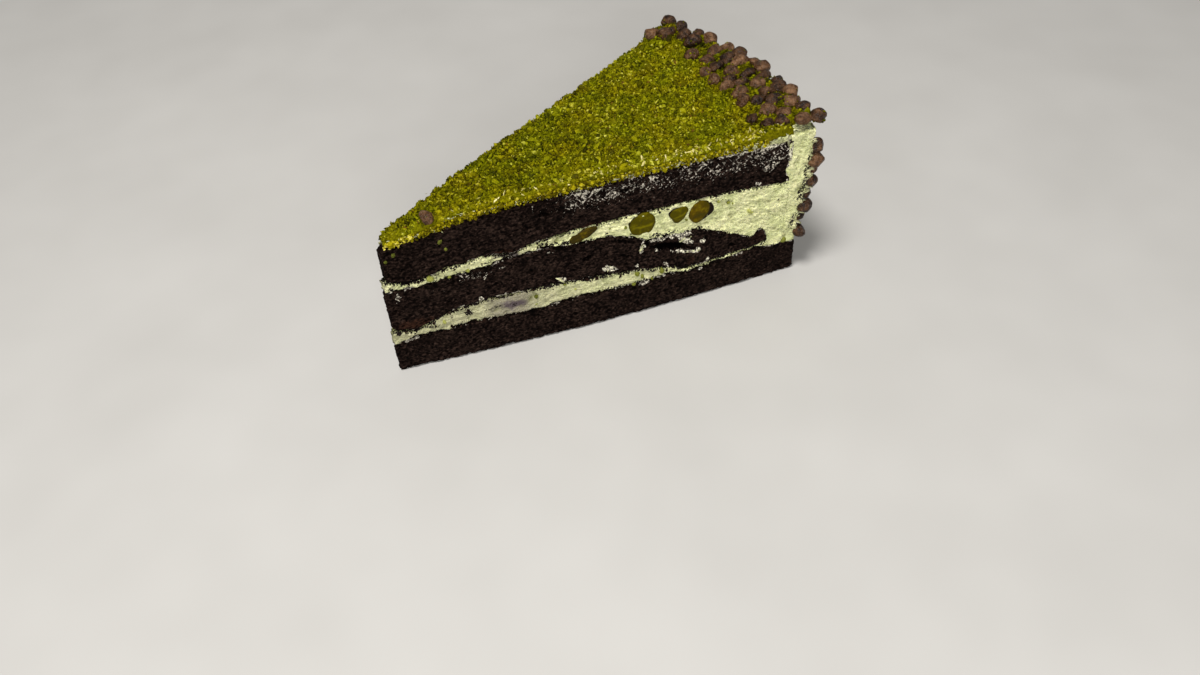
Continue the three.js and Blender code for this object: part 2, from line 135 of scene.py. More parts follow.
# ---- small things on the near cut, by distance from the tip and height ----
# Cream that the knife dragged over the sponge: half length, half height, tilt, how dense.
SMEARS = [
    (75.2, 23.6, 1.9, 0.8, 82, 1.2), (88.6, 22.5, 2.8, 0.8, -36, 1.15), (89.2, 18.4, 4, 0.5, -17, 1.2),
    (80.6, 21.1, 1.4, 0.25, -20, 1), (94.3, 20.9, 1, 0.6, -40, 1.1), (92.9, 18.2, 0.8, 0.9, 0, 1.1),
    (84.5, 25.5, 8, 1.2, -4, 0.85), (80, 25.2, 2.5, 0.9, -10, 0.9), (64.8, 19.1, 2.1, 1.1, -25, 1.2),
    (50.4, 19.5, 1.1, 1, -40, 1.1), (33.7, 19, 0.7, 0.9, 0, 1), (26.6, 20, 0.7, 1.3, 10, 1),
    (28.6, 27, 1, 0.3, 50, 1), (4, 27.8, 1.6, 0.8, 80, 0.6), (25, 28.6, 6, 1.4, -5, 0.4),
    (73.2, 17.9, 0.7, 0.7, 0, 0.9), (82.3, 15.7, 1.3, 0.5, -40, 0.8),
    (95.6, 13.5, 0.9, 0.7, 80, 1), (75.5, 10.9, 2.4, 0.9, 0, 0.7), (92.8, 10.7, 1.4, 0.6, 0, 0.9),
    (113.6, 48.9, 5.8, 0.9, 0, 1), (105, 48.9, 9, 0.5, 0, 0.8), (111, 36.4, 1.6, 0.7, 5, 0.6),
    (57.5, 48.2, 0.5, 1.5, 0, 0.9), (44, 46.8, 0.4, 1.6, 0, 0.5), (115, 43, 4, 3, 0, 0.5),
    (119.9, 43, 0.6, 7, 0, 1.1), (62, 47.4, 1.2, 1, 30, 0.7), (79, 47.6, 1.4, 0.8, -20, 0.7),
    (2.4, 11, 1.4, 0.7, 0, 1), (34, 29.3, 1.5, 0.5, 0, 0.6), (47.6, 30.2, 1.2, 0.4, -15, 0.8),
]
# Sponge that lies on the cream: the same.
CRUMBS = [
    (22.2, 16.6, 1.1, 1.4, 0, 1), (30, 15.8, 2, 0.4, 0, 0.8), (9, 14.6, 4, 0.4, 0, 0.6),
    (8.5, 32.2, 3.6, 0.8, 0, 1.2), (47.5, 33.2, 3.6, 0.6, -8, 0.75), (52.5, 32.4, 2.6, 0.8, -10, 0.95),
    (58, 31.4, 3, 0.4, 0, 0.6), (2.9, 31.2, 0.6, 0.6, 0, 1.1), (1.6, 14.8, 0.7, 0.7, 0, 1.1),
    (29.6, 32.6, 1.4, 0.4, 0, 0.7), (21, 31.4, 0.5, 0.7, 0, 0.8), (36, 33.4, 3.4, 0.9, 4, 0.9),
    (35.3, 15.3, 0.8, 0.4, 0, 0.9), (118.2, 28.5, 0.45, 0.5, 0, 1.1), (81, 26.8, 3.4, 0.7, -8, 0.8),
    (84.6, 26.6, 1.2, 0.6, 0, 0.8), (93, 25.8, 2.4, 0.5, -8, 0.7), (100, 33.6, 2.4, 0.3, -8, 0.4),
    (64.6, 32, 0.4, 0.4, 0, 0.7), (125.4, 34, 0.7, 9, 0, 0.75), (124.6, 19, 1, 3, 0, 0.75),
]
# Grains of pistachio in the cream and on the sponge: size, and how light they are.
GREEN_BITS = [
    (18, 43.5, 1.7, 0.2), (19.3, 40.5, 1.2, 0.3), (5.4, 42.7, 1.5, 0.15), (3, 40.9, 1.2, 0.1),
    (13.6, 31.7, 1.8, 0.6), (24, 31.4, 1.4, 0.6), (18.8, 30.5, 1.1, 0.5), (42.3, 16, 1.5, 0.1),
    (42, 13.3, 1, 0.4), (15, 15, 1.4, 0.7), (73.3, 15, 1.7, 0.4), (74.8, 13.6, 1.4, 0.4),
    (81, 13.8, 1.9, 0.4), (72, 11.8, 1.4, 0.3), (77.7, 12, 1.2, 0.3), (98.8, 33.6, 1.2, 0.6),
    (102, 32.4, 1.2, 0.5), (103.4, 31.8, 0.9, 0.5), (108.8, 27.2, 1.9, 0.8), (110, 26.4, 1.1, 0.8),
    (121.4, 12.6, 1.8, 0.5), (88.9, 30, 1, 0.4), (65.5, 33.6, 1, 0.5), (70.2, 32.6, 1.3, 0.3),
    (51, 17.7, 1.1, 0.4), (54, 15.2, 0.9, 0.7),
]
# Shreds of cream along the top of the cut and round the split: half length, half height, how many, size.
SHREDS = [
    (45, 50.1, 25, 0.6, 90, 0.4), (92, 50.2, 26, 0.6, 170, 0.5), (12, 47.2, 8, 0.6, 24, 0.4),
    (113.5, 49.9, 5.5, 0.7, 80, 0.7), (88.6, 22.8, 1.8, 0.6, 8, 0.5), (75.3, 24, 0.5, 1.2, 5, 0.5),
    (90, 17.9, 2.6, 0.25, 14, 0.5), (64.6, 19.4, 1.7, 0.9, 8, 0.5), (50.3, 19.6, 0.9, 0.7, 4, 0.5),
    (125.6, 31, 0.7, 14, 70, 0.8),
]
# Places where sponge has coloured the cream, and where the sponge itself is redder: half length, half
# height, tilt, strength.
STAINS = [(35.6, 15.3, 3.6, 1.3, -4, 1), (38, 32.2, 3, 1, -10, 0.9), (33, 33.6, 1.5, 0.8, 0, 0.5)]
RED_PATCHES = [(7, 16.6, 6, 1.6, -6, 0.7), (34.6, 34.4, 2.4, 0.8, 0, 0.8), (112.8, 16.8, 2.6, 2.2, 0, 0.35),
               (90, 14.6, 1.2, 1.2, 0, 0.4), (59, 36.2, 1.6, 0.7, 10, 0.8)]

# ---- ground pistachio: seed, how many and usual size of each kind of grain ----
GRAINS = {
    "pistachio_green": (402, 4800, 0.78),
    "pistachio_lumps": (408, 700, 1.25),
    "pistachio_slivers": (406, 15000, 0.5),
    "pistachio_edge": (403, 1900, 0.68),
    "pistachio_curls": (407, 120, 0.31),
    "pistachio_skin": (404, 160, 0.7),
    "pistachio_dust": (405, 1100, 0.5),
}
GRAIN_KINDS = 24  # how many different shapes they have

# ---- how fine the surfaces are made ----
FINE = 0.3 * MM  # on the cuts
INSIDE = 4 * MM  # between the layers, where nothing shows
ON_TOP = 0.42 * MM  # on the ground pistachio
ON_RIM = 0.6 * MM  # on the round side
ON_COAT = 0.8 * MM  # on the coat's top
OVERLAP = 1.1 * MM  # how far cream reaches under the sponge's edge
ROUND_END = 3 * MM  # how far from its end the middle sponge starts to round off

# ---- the photograph's camera, from the cake's centre, and the studio ----
CAMERA_PLACE = np.array([-57.63, -200.25, 213.51]) * MM
CAMERA_HEADING = math.radians(32.9)  # from +Y towards +X
CAMERA_PITCH = math.radians(45.57)
CAMERA_ROLL = math.radians(-2.89)
CAMERA_LENS = 30
CAMERA_SENSOR = 36
SKY, SKY_STRENGTH = (1, 0.99, 0.97, 1), 0.24
# Name, place, size, power and colour.
LAMPS = [
    ("top", (-0.2, -0.1, 0.8), 0.25, 6.8, (1, 0.98, 0.95)),
    ("front", (-0.35, -0.65, 0.4), 0.3, 3.4, (1, 0.99, 0.97)),
]
FLOOR_HALF = 1.5
FLOOR_DARK, FLOOR_LIGHT = (0.455, 0.445, 0.425), (0.49, 0.48, 0.46)


# ---- small maths ----
def smooth(t):
    t = np.clip(t, 0, 1)
    return t * t * (3 - 2 * t)


def lerp(a, b, t):
    return a + (b - a) * t


def wave(t, phase):
    return 0.6 * np.sin(t / MM * 0.31 + phase) + 0.4 * np.sin(t / MM * 0.83 + 2.1 * phase)


def curve(knots, at):
    """The height of a smooth curve through knots, held level past its ends."""
    xs, ys = np.array(knots, float).T
    at = np.clip(np.asarray(at, float), xs[0], xs[-1])
    last = len(xs) - 1
    i = np.clip(np.searchsorted(xs, at, side="right") - 1, 0, last - 1)
    before, after = np.maximum(i - 1, 0), np.minimum(i + 2, last)
    span = xs[i + 1] - xs[i]
    start = (ys[i + 1] - ys[before]) / (xs[i + 1] - xs[before]) * span
    end = (ys[after] - ys[i]) / (xs[after] - xs[i]) * span
    t = (at - xs[i]) / span
    return (
        (2 * t**3 - 3 * t**2 + 1) * ys[i] + (t**3 - 2 * t**2 + t) * start
        + (3 * t**2 - 2 * t**3) * ys[i + 1] + (t**3 - t**2) * end
    )


def hashed(cell, seed):
    """A repeatable number from 0 to 1 for each whole-number cell."""
    c = cell.astype(np.int64)
    h = (c[..., 0] * 73856093) ^ (c[..., 1] * 19349663) ^ (c[..., 2] * 83492791) ^ (seed * 2654435761)
    h = h & 0xFFFFFFFF
    h = ((h ^ (h >> 15)) * 2246822519) & 0xFFFFFFFF
    h = ((h ^ (h >> 13)) * 3266489917) & 0xFFFFFFFF
    return (h ^ (h >> 16)) / 4294967296


def noise(points, size, seed):
    """Smooth noise from -1 to 1 with features of a given size."""
    p = points / size + 100
    base = np.floor(p)
    t = smooth(p - base)
    total = 0
    for corner in np.ndindex(2, 2, 2):
        c = np.array(corner)
        weight = np.prod(np.where(c, t, 1 - t), axis=-1)
        total = total + weight * hashed(base + c, seed)
    return 2 * total - 1


def fractal(points, size, octaves, seed):
    """Noise with finer and finer noise added."""
    parts = [noise(points, size / 2**k, seed + k) * 0.5**k for k in range(octaves)]
    return sum(parts) / (2 - 0.5 ** (octaves - 1))


def bubbles(points, size, seed):
    """How far each point is from the nearest of randomly spread centres, in units of size."""
    p = points / size + 100
    base = np.floor(p)
    best = np.full(len(p), 9.0)
    for step in np.ndindex(3, 3, 3):
        cell = base + np.array(step) - 1
        centre = np.stack([hashed(cell, seed + k) for k in range(3)], axis=-1)
        best = np.minimum(best, np.linalg.norm(cell + centre - p, axis=-1))
    return best


def granules(points, size, seed):
    """Rounded lumps packed side by side: 0 in the cracks and 1 on top."""
    return 1 - np.minimum(bubbles(points, size, seed), 1) ** 2


# ---- the slice's form ----
def across(x, y):
    """The share of the way from the near cut to the far one."""
    return np.clip(0.5 + np.arctan2(y, x) / (2 * HALF_ANGLE), 0, 1)


def from_near_cut(x, y):
    return np.hypot(x, y) * np.sin(2 * HALF_ANGLE * across(x, y))


def flat(x, y):
    return np.stack([x, y, 0 * x], axis=-1)


def plan(points):
    return points[:, 0], points[:, 1]


def bed(name, x, y):
    """The height of a layer's surface over a point of the plan."""
    distance = (np.hypot(x, y) - TIP_RADIUS) / MM
    share = smooth(across(x, y))
    ripple = RIPPLE * np.sin(np.pi * share) * wave(x + 0.7 * y, len(name))
    near, far = curve(BEDS[name]["near"], distance), curve(BEDS[name]["far"], distance)
    return (lerp(near, far, share) + ripple) * MM


def coat_top(x, y):
    return bed("topTop", x, y) + COAT_THICKNESS + GAP


def settle(p):
    """The unevenness that the whole slice shares, and the move to the frame."""
    p = p.copy()
    x, y, z = p.T
    radius = np.maximum(np.hypot(x, y), 1e-9)
    share = np.clip((radius - TIP_RADIUS) / (BASE_RADIUS - TIP_RADIUS), 0, 1)
    side = across(x, y)
    bow = BOW * (1 - side) ** 3 * (1 - smooth(z / BOW_TOP)) * np.sin(np.pi * share)
    draw = HOLLOW * side**3 * smooth((z - HOLLOW_FOOT) / HOLLOW_RISE) * np.sin(np.pi * share)
    p[:, 0] += (draw - bow) * math.sin(HALF_ANGLE)
    p[:, 1] -= (draw + bow) * math.cos(HALF_ANGLE)
    rim = smooth((radius - MIDDLE_RADIUS) / (COAT_RADIUS - MIDDLE_RADIUS))
    lean = COAT_LEAN * rim * smooth((z - LEAN_FOOT) / LEAN_RISE) / radius
    p[:, :2] *= (1 + lean)[:, None]
    return p + CAKE_CENTRE


def cut_axes(side):
    """Along a cut, out of it, and up."""
    along = np.array([math.cos(HALF_ANGLE), side * math.sin(HALF_ANGLE), 0])
    out = np.array([-math.sin(HALF_ANGLE), side * math.cos(HALF_ANGLE), 0])
    return along, out, np.array([0.0, 0.0, 1.0])


def cut_point(side, at, height, out=0.0):
    """A point on a cut: distance from the tip, height, and distance out of it."""
    along, outward, up = cut_axes(side)
    return (
        np.multiply.outer(at + TIP_RADIUS, along) + np.multiply.outer(out, outward)
        + np.multiply.outer(height, up)
    )


def along_near_cut(points):
    return points @ cut_axes(-1)[0] - TIP_RADIUS


def from_tip(points):
    return np.hypot(*plan(points)) - TIP_RADIUS


def in_oval(a, h, at, height, long, tall, tilt):
    """How far points lie from the middle of a tilted oval, along it and across it. Its edge is at 1."""
    cos, sin = math.cos(math.radians(tilt)), math.sin(math.radians(tilt))
    a, h = a - at * MM, h - height * MM
    return (a * cos + h * sin) / (long * MM), (h * cos - a * sin) / (tall * MM)


def patches(points, spots):
    """Soft-edged spots on the near cut, from 0 to each one's strength."""
    a = along_near_cut(points) + 0.7 * MM * fractal(points, 1.5 * MM, 3, 5)
    h = points[:, 2] + 0.7 * MM * fractal(points, 1.5 * MM, 3, 15)
    ragged = 0.7 * fractal(points, 1.3 * MM, 3, 25)
    found = np.zeros(len(points))
    for *oval, strength in spots:
        u, v = in_oval(a, h, *oval)
        found = np.maximum(found, strength * smooth(1.5 - np.hypot(u, v) + ragged))
    return found * (from_near_cut(*plan(points)) < 4 * MM)


def round_end(x, y):
    """The foot and the top of the middle sponge, which is round where it ends."""
    foot, top = bed("middleFoot", x, y), bed("middleTop", x, y)
    middle, half = (foot + top) / 2, (top - foot) / 2
    past = np.clip((np.hypot(x, y) - MIDDLE_RADIUS + ROUND_END) / ROUND_END, 0, 0.98)
    less = np.minimum(half, ROUND_END) * (1 - np.sqrt(1 - past**2))
    return middle - half + less, middle + half - less


# ---- meshes ----
def add(name, data):
    """Puts a new object into the scene."""
    made = bpy.data.objects.new(name, data)
    bpy.context.scene.collection.objects.link(made)
    return made


def piece(name, points, faces, look, replaced=(), shade=True, values=None, uv=None):
    """Makes an object from points round the cake's centre, and hands it to the frame."""
    mesh = bpy.data.meshes.new(name)
    mesh.from_pydata(settle(np.asarray(points, float)).tolist(), [], [list(map(int, f)) for f in faces])
    mesh.validate()
    mesh.polygons.foreach_set("use_smooth", np.full(len(mesh.polygons), shade))
    for key, numbers in (values or {}).items():
        data = mesh.attributes.new(key, "FLOAT", "POINT").data
        data.foreach_set("value", np.asarray(numbers, np.float32))
    if uv is not None:
        layer = mesh.uv_layers.new(name="OFBake")
        layer.uv.foreach_set("vector", np.asarray(uv, np.float32).ravel())
    mesh.materials.append(look)
    mesh.update()
    made = add(name, mesh)
    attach(made, "root")
    if replaced:
        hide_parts(*replaced)


def stitch(a, b, counts):
    """Triangles between two rows of points that start at a and b and have counts[0] and counts[1] steps."""
    faces = []
    i = j = 0
    while i < counts[0] or j < counts[1]:
        if j == counts[1] or (i < counts[0] and (i + 1) * counts[1] < (j + 1) * counts[0]):
            faces.append((a + i, b + j, a + i + 1))
            i += 1
        else:
            faces.append((a + i, b + j, b + j + 1))
            j += 1
    return faces


def fan(radii, counts):
    """Points in rows from the tip to the rim, the triangles between them, and the outline's points."""
    starts = np.concatenate([[0], np.cumsum(counts + 1)])
    r = np.repeat(radii, counts + 1)
    angle = lerp(-HALF_ANGLE, HALF_ANGLE, np.concatenate([np.arange(n + 1) / n for n in counts]))
    faces = []
    for i in range(len(counts) - 1):
        faces += stitch(starts[i], starts[i + 1], (counts[i], counts[i + 1]))
    near, far = starts[:-1], starts[:-1] + counts
    rim_row = np.arange(near[-1] + 1, far[-1])
    tip_row = np.arange(far[0] - 1, near[0], -1)
    ring = np.concatenate([near, rim_row, far[::-1], tip_row])
    side = np.repeat([-1, 0, 1, 2], [len(near), len(rim_row), len(far), len(tip_row)])
    return r * np.cos(angle), r * np.sin(angle), np.array(faces), ring, side


def slab(low, high, tip, radius, relief, rows, margin=0.0, inside=INSIDE, rim=INSIDE):
    """A layer between two surfaces: its points, faces, map, how far out each point was moved, and how deep
    inside the layer each point of its wall is.

    Its caps are points in arcs from the tip to the rim, and its wall runs round the near cut, the rim, the
    far cut and the tip in that many rows. relief gives how far out the wall stands at each of its points,
    from the point, its depth inside the layer and the side it is on. margin is how much less deep that is,
    and inside and rim are the spacing of the top's points, over it and along the rim.
    """
    steps = int(round((radius - tip) / FINE))
    radii = np.linspace(tip, radius, steps + 1)
    spacing = lerp(inside, rim, smooth((radii - radius + 8 * MM) / (8 * MM)))
    counts, few = (
        np.maximum(2, np.round(2 * HALF_ANGLE * radii / apart)).astype(int) for apart in (spacing, INSIDE)
    )
    few[0], few[-1] = counts[0], counts[-1]
    x, y, top_faces, top_ring, side = fan(radii, counts)
    lower_x, lower_y, bottom_faces, bottom_ring, _ = fan(radii, few)
    bottom_faces = bottom_faces[:, ::-1]
    top = np.stack([x, y, high(x, y)], axis=1)
    bottom = np.stack([lower_x, lower_y, low(lower_x, lower_y)], axis=1)

    outward = flat(x[top_ring], y[top_ring]) / np.hypot(x[top_ring], y[top_ring])[:, None]
    outward[side == -1] = cut_axes(-1)[1]
    outward[side == 1] = cut_axes(1)[1]
    outward[side == 2] = (-1, 0, 0)
    level = np.linspace(0, 1, rows + 1)[:, None, None]
    wall = lerp(bottom[bottom_ring][None], top[top_ring][None], level)
    depth = np.minimum(wall[..., 2] - wall[:1, :, 2], wall[-1:, :, 2] - wall[..., 2]) - margin
    sides = np.broadcast_to(side, depth.shape)
    out = relief(wall.reshape(-1, 3), depth.ravel(), sides.ravel()).reshape(depth.shape)
    wall = wall + out[..., None] * outward[None]

    first, second = len(top), len(top) + len(bottom)
    index = second + np.arange((rows - 1) * len(side)).reshape(rows - 1, len(side))
    index = np.concatenate([[bottom_ring + first], index, [top_ring]])
    points = np.concatenate([top, bottom, wall[1:-1].reshape(-1, 3)])
    moved = np.zeros(len(points))
    deep = np.full(len(points), INSIDE)
    points[index] = wall
    moved[index] = out
    deep[index] = depth
    following = np.roll(index, -1, axis=1)
    quads = np.stack([index[:-1], following[:-1], following[1:], index[1:]], -1)
    faces = top_faces.tolist() + (bottom_faces + first).tolist() + quads.reshape(-1, 4).tolist()
    maps = [
        (x[top_faces] / radius, y[top_faces] / radius),
        (lower_x[bottom_faces] / radius, lower_y[bottom_faces] / radius),
    ]
    return points, faces, slab_map(maps, side, level[:, :, 0]), moved, deep


def slab_map(caps, side, level):
    """The slab's map: the two caps side by side, and above them a strip for each stretch of the wall."""
    CAP_WIDTH, CAP_HEIGHT, STRIP_HEIGHT = 0.48, 0.28, 0.19
    STRIPS = {-1: (0, 0.8, 0.98), 0: (0, 0.32, 0.6), 1: (0, 0.56, 0.98), 2: (0.7, 0.32, 0.05)}
    places = []
    for shift, (x, y) in zip((0, 0.5), caps):
        v = (0.5 + y / (2 * math.sin(HALF_ANGLE))) * CAP_HEIGHT
        places.append(np.stack([x * CAP_WIDTH + shift, v], axis=-1).reshape(-1, 2))
    left, right, foot = np.zeros((3, len(side)))
    for key, (start, base, width) in STRIPS.items():
        chosen = np.flatnonzero(side == key)
        step = width / max(1, len(chosen))
        left[chosen] = start + step * np.arange(len(chosen))
        right[chosen] = left[chosen] + step
        foot[chosen] = base
    low = foot[None] + STRIP_HEIGHT * level[:-1]
    high = foot[None] + STRIP_HEIGHT * level[1:]
    left, right = np.broadcast_to(left, low.shape), np.broadcast_to(right, low.shape)
    corners = [np.stack(pair, -1) for pair in ((left, low), (right, low), (right, high), (left, high))]
    return np.concatenate([*places, np.stack(corners, axis=2).reshape(-1, 2)])


def many(shapes, faces, centres, sizes, turns, kinds):
    """Joins copies of small shapes. kinds says which of the shapes lies at each of the centres."""
    local = shapes[kinds] * sizes[:, None, :]
    points = np.einsum("nij,nkj->nki", turns, local) + centres[:, None, :]
    all_faces = faces[None] + shapes.shape[1] * np.arange(len(centres))[:, None, None]
    return points.reshape(-1, 3), all_faces.reshape(-1, faces.shape[1])


def random_turns(rng, count):
    """Evenly spread rotations."""
    return np.array([Quaternion(q).normalized().to_matrix() for q in rng.normal(size=(count, 4))])


def cut_turns(rng, sides, roll):
    """Rotations that lay a shape's X along a cut, Y out of it and Z up it, each rolled a little."""
    turn = rng.normal(0, roll, len(sides))
    cos, sin, none = np.cos(turn), np.sin(turn), 0 * turn
    rolls = np.array([[cos, none, -sin], [none, none + 1, none], [sin, none, cos]])
    return np.array([np.stack(cut_axes(side), axis=1) for side in sides]) @ np.moveaxis(rolls, 2, 0)


def fragments(rng, levels, variants, roughness, chops=6, depth=(0.45, 0.95)):
    """Several broken lumps with the same faces: balls with flats chopped off them."""
    made = bmesh.new()
    bmesh.ops.create_icosphere(made, subdivisions=levels, radius=1)
    made.verts.ensure_lookup_table()
    ball = np.array([v.co[:] for v in made.verts])
    faces = np.array([[v.index for v in f.verts] for f in made.faces])
    made.free()
    shapes = []
    for _ in range(variants):
        shape = ball.copy()
        for _ in range(chops):
            normal = rng.normal(size=3)
            normal /= np.linalg.norm(normal)
            over = np.maximum(shape @ normal - rng.uniform(*depth), 0)
            shape -= over[:, None] * normal
        shapes.append(shape * (1 + roughness * rng.normal(size=(len(shape), 1))))
    return np.array(shapes), faces


# ---- looks ----
class Look:
    """A procedural material, built node by node."""

    def __init__(self, name, roughness, specular=0.5, **sockets):
        self.material = bpy.data.materials.new(name)
        self.material.use_nodes = True
        self.tree = self.material.node_tree
        self.surface = self.tree.nodes["Principled BSDF"]
        self.place = self.node("ShaderNodeTexCoord").outputs["Object"]
        sockets.update(Roughness=roughness, Specular_IOR_Level=specular)
        for key, value in sockets.items():
            self.surface.inputs[key.replace("_", " ")].default_value = value

    def plug(self, value, socket):
        if isinstance(value, bpy.types.NodeSocket):
            self.tree.links.new(value, socket)
        else:
            socket.default_value = value

    def node(self, kind, inputs=None, **settings):
        made = self.tree.nodes.new(kind)
        for key, value in settings.items():
            setattr(made, key, value)
        for key, value in (inputs or {}).items():
            self.plug(value, made.inputs[key])
        return made

    def stretched(self, x, y, z, turn=0.0, tilt=0.0):
        """The object's coordinates, turned about Z and tilted, for patterns that are stretched that way."""
        inputs = {"Vector": self.place, "Rotation": (0, tilt, turn), "Scale": (x, y, z)}
        return self.node("ShaderNodeMapping", inputs, vector_type="TEXTURE").outputs["Vector"]

    def noise(self, size, detail=3.0, roughness=0.6, place=None):
        inputs = {"Vector": place or self.place, "Scale": 1 / size}
        inputs.update({"Detail": detail, "Roughness": roughness})
        return self.node("ShaderNodeTexNoise", inputs).outputs["Fac"]

    def cells(self, size):
        """How far each point is from the nearest of randomly spread centres, in units of size."""
        made = self.node("ShaderNodeTexVoronoi", {"Vector": self.place, "Scale": 1 / size})
        return made.outputs["Distance"]

    def strokes(self, size, length):
        """Noise in short strokes that cross each other on the near cut."""
        tilts = (math.radians(50), math.radians(-40))
        places = [self.stretched(length, 1, 1, -HALF_ANGLE, tilt) for tilt in tilts]
        return self.math("MAXIMUM", *(self.noise(size, 2, 0.5, place) for place in places))

    def value(self, name):
        return self.node("ShaderNodeAttribute", attribute_name=name).outputs["Fac"]

    def math(self, operation, a, b):
        return self.node("ShaderNodeMath", {0: a, 1: b}, operation=operation).outputs[0]

    def plus(self, a, b):
        return self.math("ADD", a, b)

    def times(self, a, b):
        return self.math("MULTIPLY", a, b)

    def spread(self, value, low, high):
        """value, from low to high, as 0 to 1."""
        inputs = {"Value": value, "From Min": low, "From Max": high}
        return self.node("ShaderNodeMapRange", inputs).outputs[0]

    def ramp(self, value, *stops):
        """Colours along a value: each stop is a position and a linear colour."""
        made = self.node("ShaderNodeValToRGB", {"Fac": value})
        band = made.color_ramp
        while len(band.elements) < len(stops):
            band.elements.new(0.5)
        for element, (position, colour) in zip(band.elements, stops):
            element.position = position
            element.color = (*colour, 1)
        return made.outputs["Color"]

    def mix(self, share, a, b):
        a, b = ((*colour, 1) if isinstance(colour, tuple) else colour for colour in (a, b))
        return self.node("ShaderNodeMix", {0: share, 6: a, 7: b}, data_type="RGBA").outputs[2]

    def coated(self, colour, *coats):
        """A colour with others laid over it in turn, each with the share that it covers."""
        for share, coat in coats:
            colour = self.mix(share, colour, coat)
        return colour

    def finish(self, colour, bump=None, distance=0.0, strength=1.0):
        self.plug(colour, self.surface.inputs["Base Color"])
        if bump is not None:
            made = self.node("ShaderNodeBump", {"Height": bump, "Strength": strength, "Distance": distance})
            self.plug(made.outputs["Normal"], self.surface.inputs["Normal"])
        return self.material


# Linear colours, and of ground nut from the darkest to the lightest grains.
SPONGE_DARK = (0.0012, 0.0005, 0.0003)
SPONGE_MID = (0.0072, 0.0037, 0.0028)
SPONGE_LIGHT = (0.046, 0.028, 0.021)
SPONGE_RED = (0.050, 0.018, 0.009)
SMEAR_SHADE = (0.13, 0.11, 0.085)
SMEAR_THIN = (0.58, 0.53, 0.45)
SMEAR_THICK = (0.86, 0.82, 0.62)
CREAM_PALE = (0.97, 0.96, 0.54)
CREAM_GREEN = (0.73, 0.77, 0.37)
CREAM_SHADE = (0.20, 0.21, 0.06)
CREAM_THIN = (0.31, 0.28, 0.20)
CREAM_STAIN = (0.13, 0.10, 0.105)
NUT_LEAF = ((0.0, (0.013, 0.015, 0.0002)), (0.33, (0.092, 0.095, 0.0005)), (0.70, (0.25, 0.25, 0.002)),
            (1.0, (0.52, 0.50, 0.08)))
NUT_WARM = ((0.0, (0.020, 0.015, 0.0002)), (0.33, (0.114, 0.098, 0.0005)), (0.70, (0.30, 0.26, 0.002)),
            (1.0, (0.60, 0.54, 0.10)))
NUT_EDGE = ((0.0, (0.034, 0.026, 0.0003)), (0.35, (0.16, 0.14, 0.0015)), (0.7, (0.40, 0.34, 0.006)),
            (1.0, (0.70, 0.62, 0.14)))
NUT_AMBER = ((0.0, (0.030, 0.020, 0.0003)), (0.35, (0.14, 0.113, 0.0010)), (0.7, (0.34, 0.28, 0.003)),
             (1.0, (0.60, 0.50, 0.09)))
NUT_SKIN = ((0.2, (0.07, 0.036, 0.005)), (0.9, (0.15, 0.090, 0.006)))
NUT_SOAKED = ((0.0, (0.045, 0.052, 0.006)), (0.5, (0.17, 0.18, 0.03)), (1.0, (0.46, 0.47, 0.15)))
NUT_CURL = ((0.0, (0.34, 0.29, 0.04)), (1.0, (0.80, 0.72, 0.34)))
NUT_BRIGHT = (0.19, 0.175, 0.0025)
KERNEL_GREEN = (0.060, 0.050, 0.0004)
KERNEL_LIGHT = (0.17, 0.145, 0.002)
KERNEL_AMBER = (0.115, 0.062, 0.0005)
KERNEL_DULL = (0.034, 0.024, 0.003)
KERNEL_SKIN = (0.010, 0.006, 0.004)
CHOCOLATE_DARK = (0.010, 0.0038, 0.0014)
CHOCOLATE_MID = (0.068, 0.030, 0.0115)
CHOCOLATE_LIGHT = (0.200, 0.105, 0.050)


def sponge_look():
    """Crumb, with painted shade in its pits, pores and torn holes and painted light on its raised granules,
    with thin strokes and solid smears of cream over it.
    """
    look = Look("dark_sponge", 0.95, 0.04)
    tone = look.noise(5 * MM, 3)
    grain = look.noise(0.6 * MM, 3, 0.65, look.stretched(1.6, 1.6, 0.9, -HALF_ANGLE))
    mixed = look.plus(look.times(grain, 0.8), look.times(tone, 0.2))
    colour = look.coated(
        look.ramp(mixed, (0.39, SPONGE_DARK), (0.50, SPONGE_MID), (0.68, SPONGE_LIGHT)),
        # Painted light: the raised granules are painted lighter.
        (look.times(look.value("raised_highlight"), 0.25), SPONGE_LIGHT),
        (look.times(look.value("red"), look.spread(grain, 0.35, 0.65)), SPONGE_RED),
        # Painted shade: dark dots at the cells' middles stand for small pores.
        (look.spread(look.cells(1.5 * MM), 0.32, 0.2), SPONGE_DARK),
        # Painted shade: the pits and torn holes are painted dark.
        (look.value("pit_shade"), SPONGE_DARK),
    )
    smear = look.value("smear")
    speck = look.noise(0.5 * MM, 2, 0.6)
    streaks = look.plus(look.times(look.math("MINIMUM", smear, 0.62), 0.5), look.strokes(0.5 * MM, 3))
    solid = look.plus(look.times(look.math("MINIMUM", smear, 0.86), 0.8), look.times(speck, 1.2))
    cover = look.math("MAXIMUM", look.spread(streaks, 0.80, 0.84), look.spread(solid, 1.25, 1.35))
    thick = look.spread(look.plus(smear, speck), 0.95, 1.65)
    pale = look.coated(SMEAR_THIN, (thick, SMEAR_THICK), (look.spread(speck, 0.54, 0.40), SMEAR_SHADE))
    return look.finish(look.mix(cover, colour, pale), look.plus(grain, cover), 0.5 * MM)


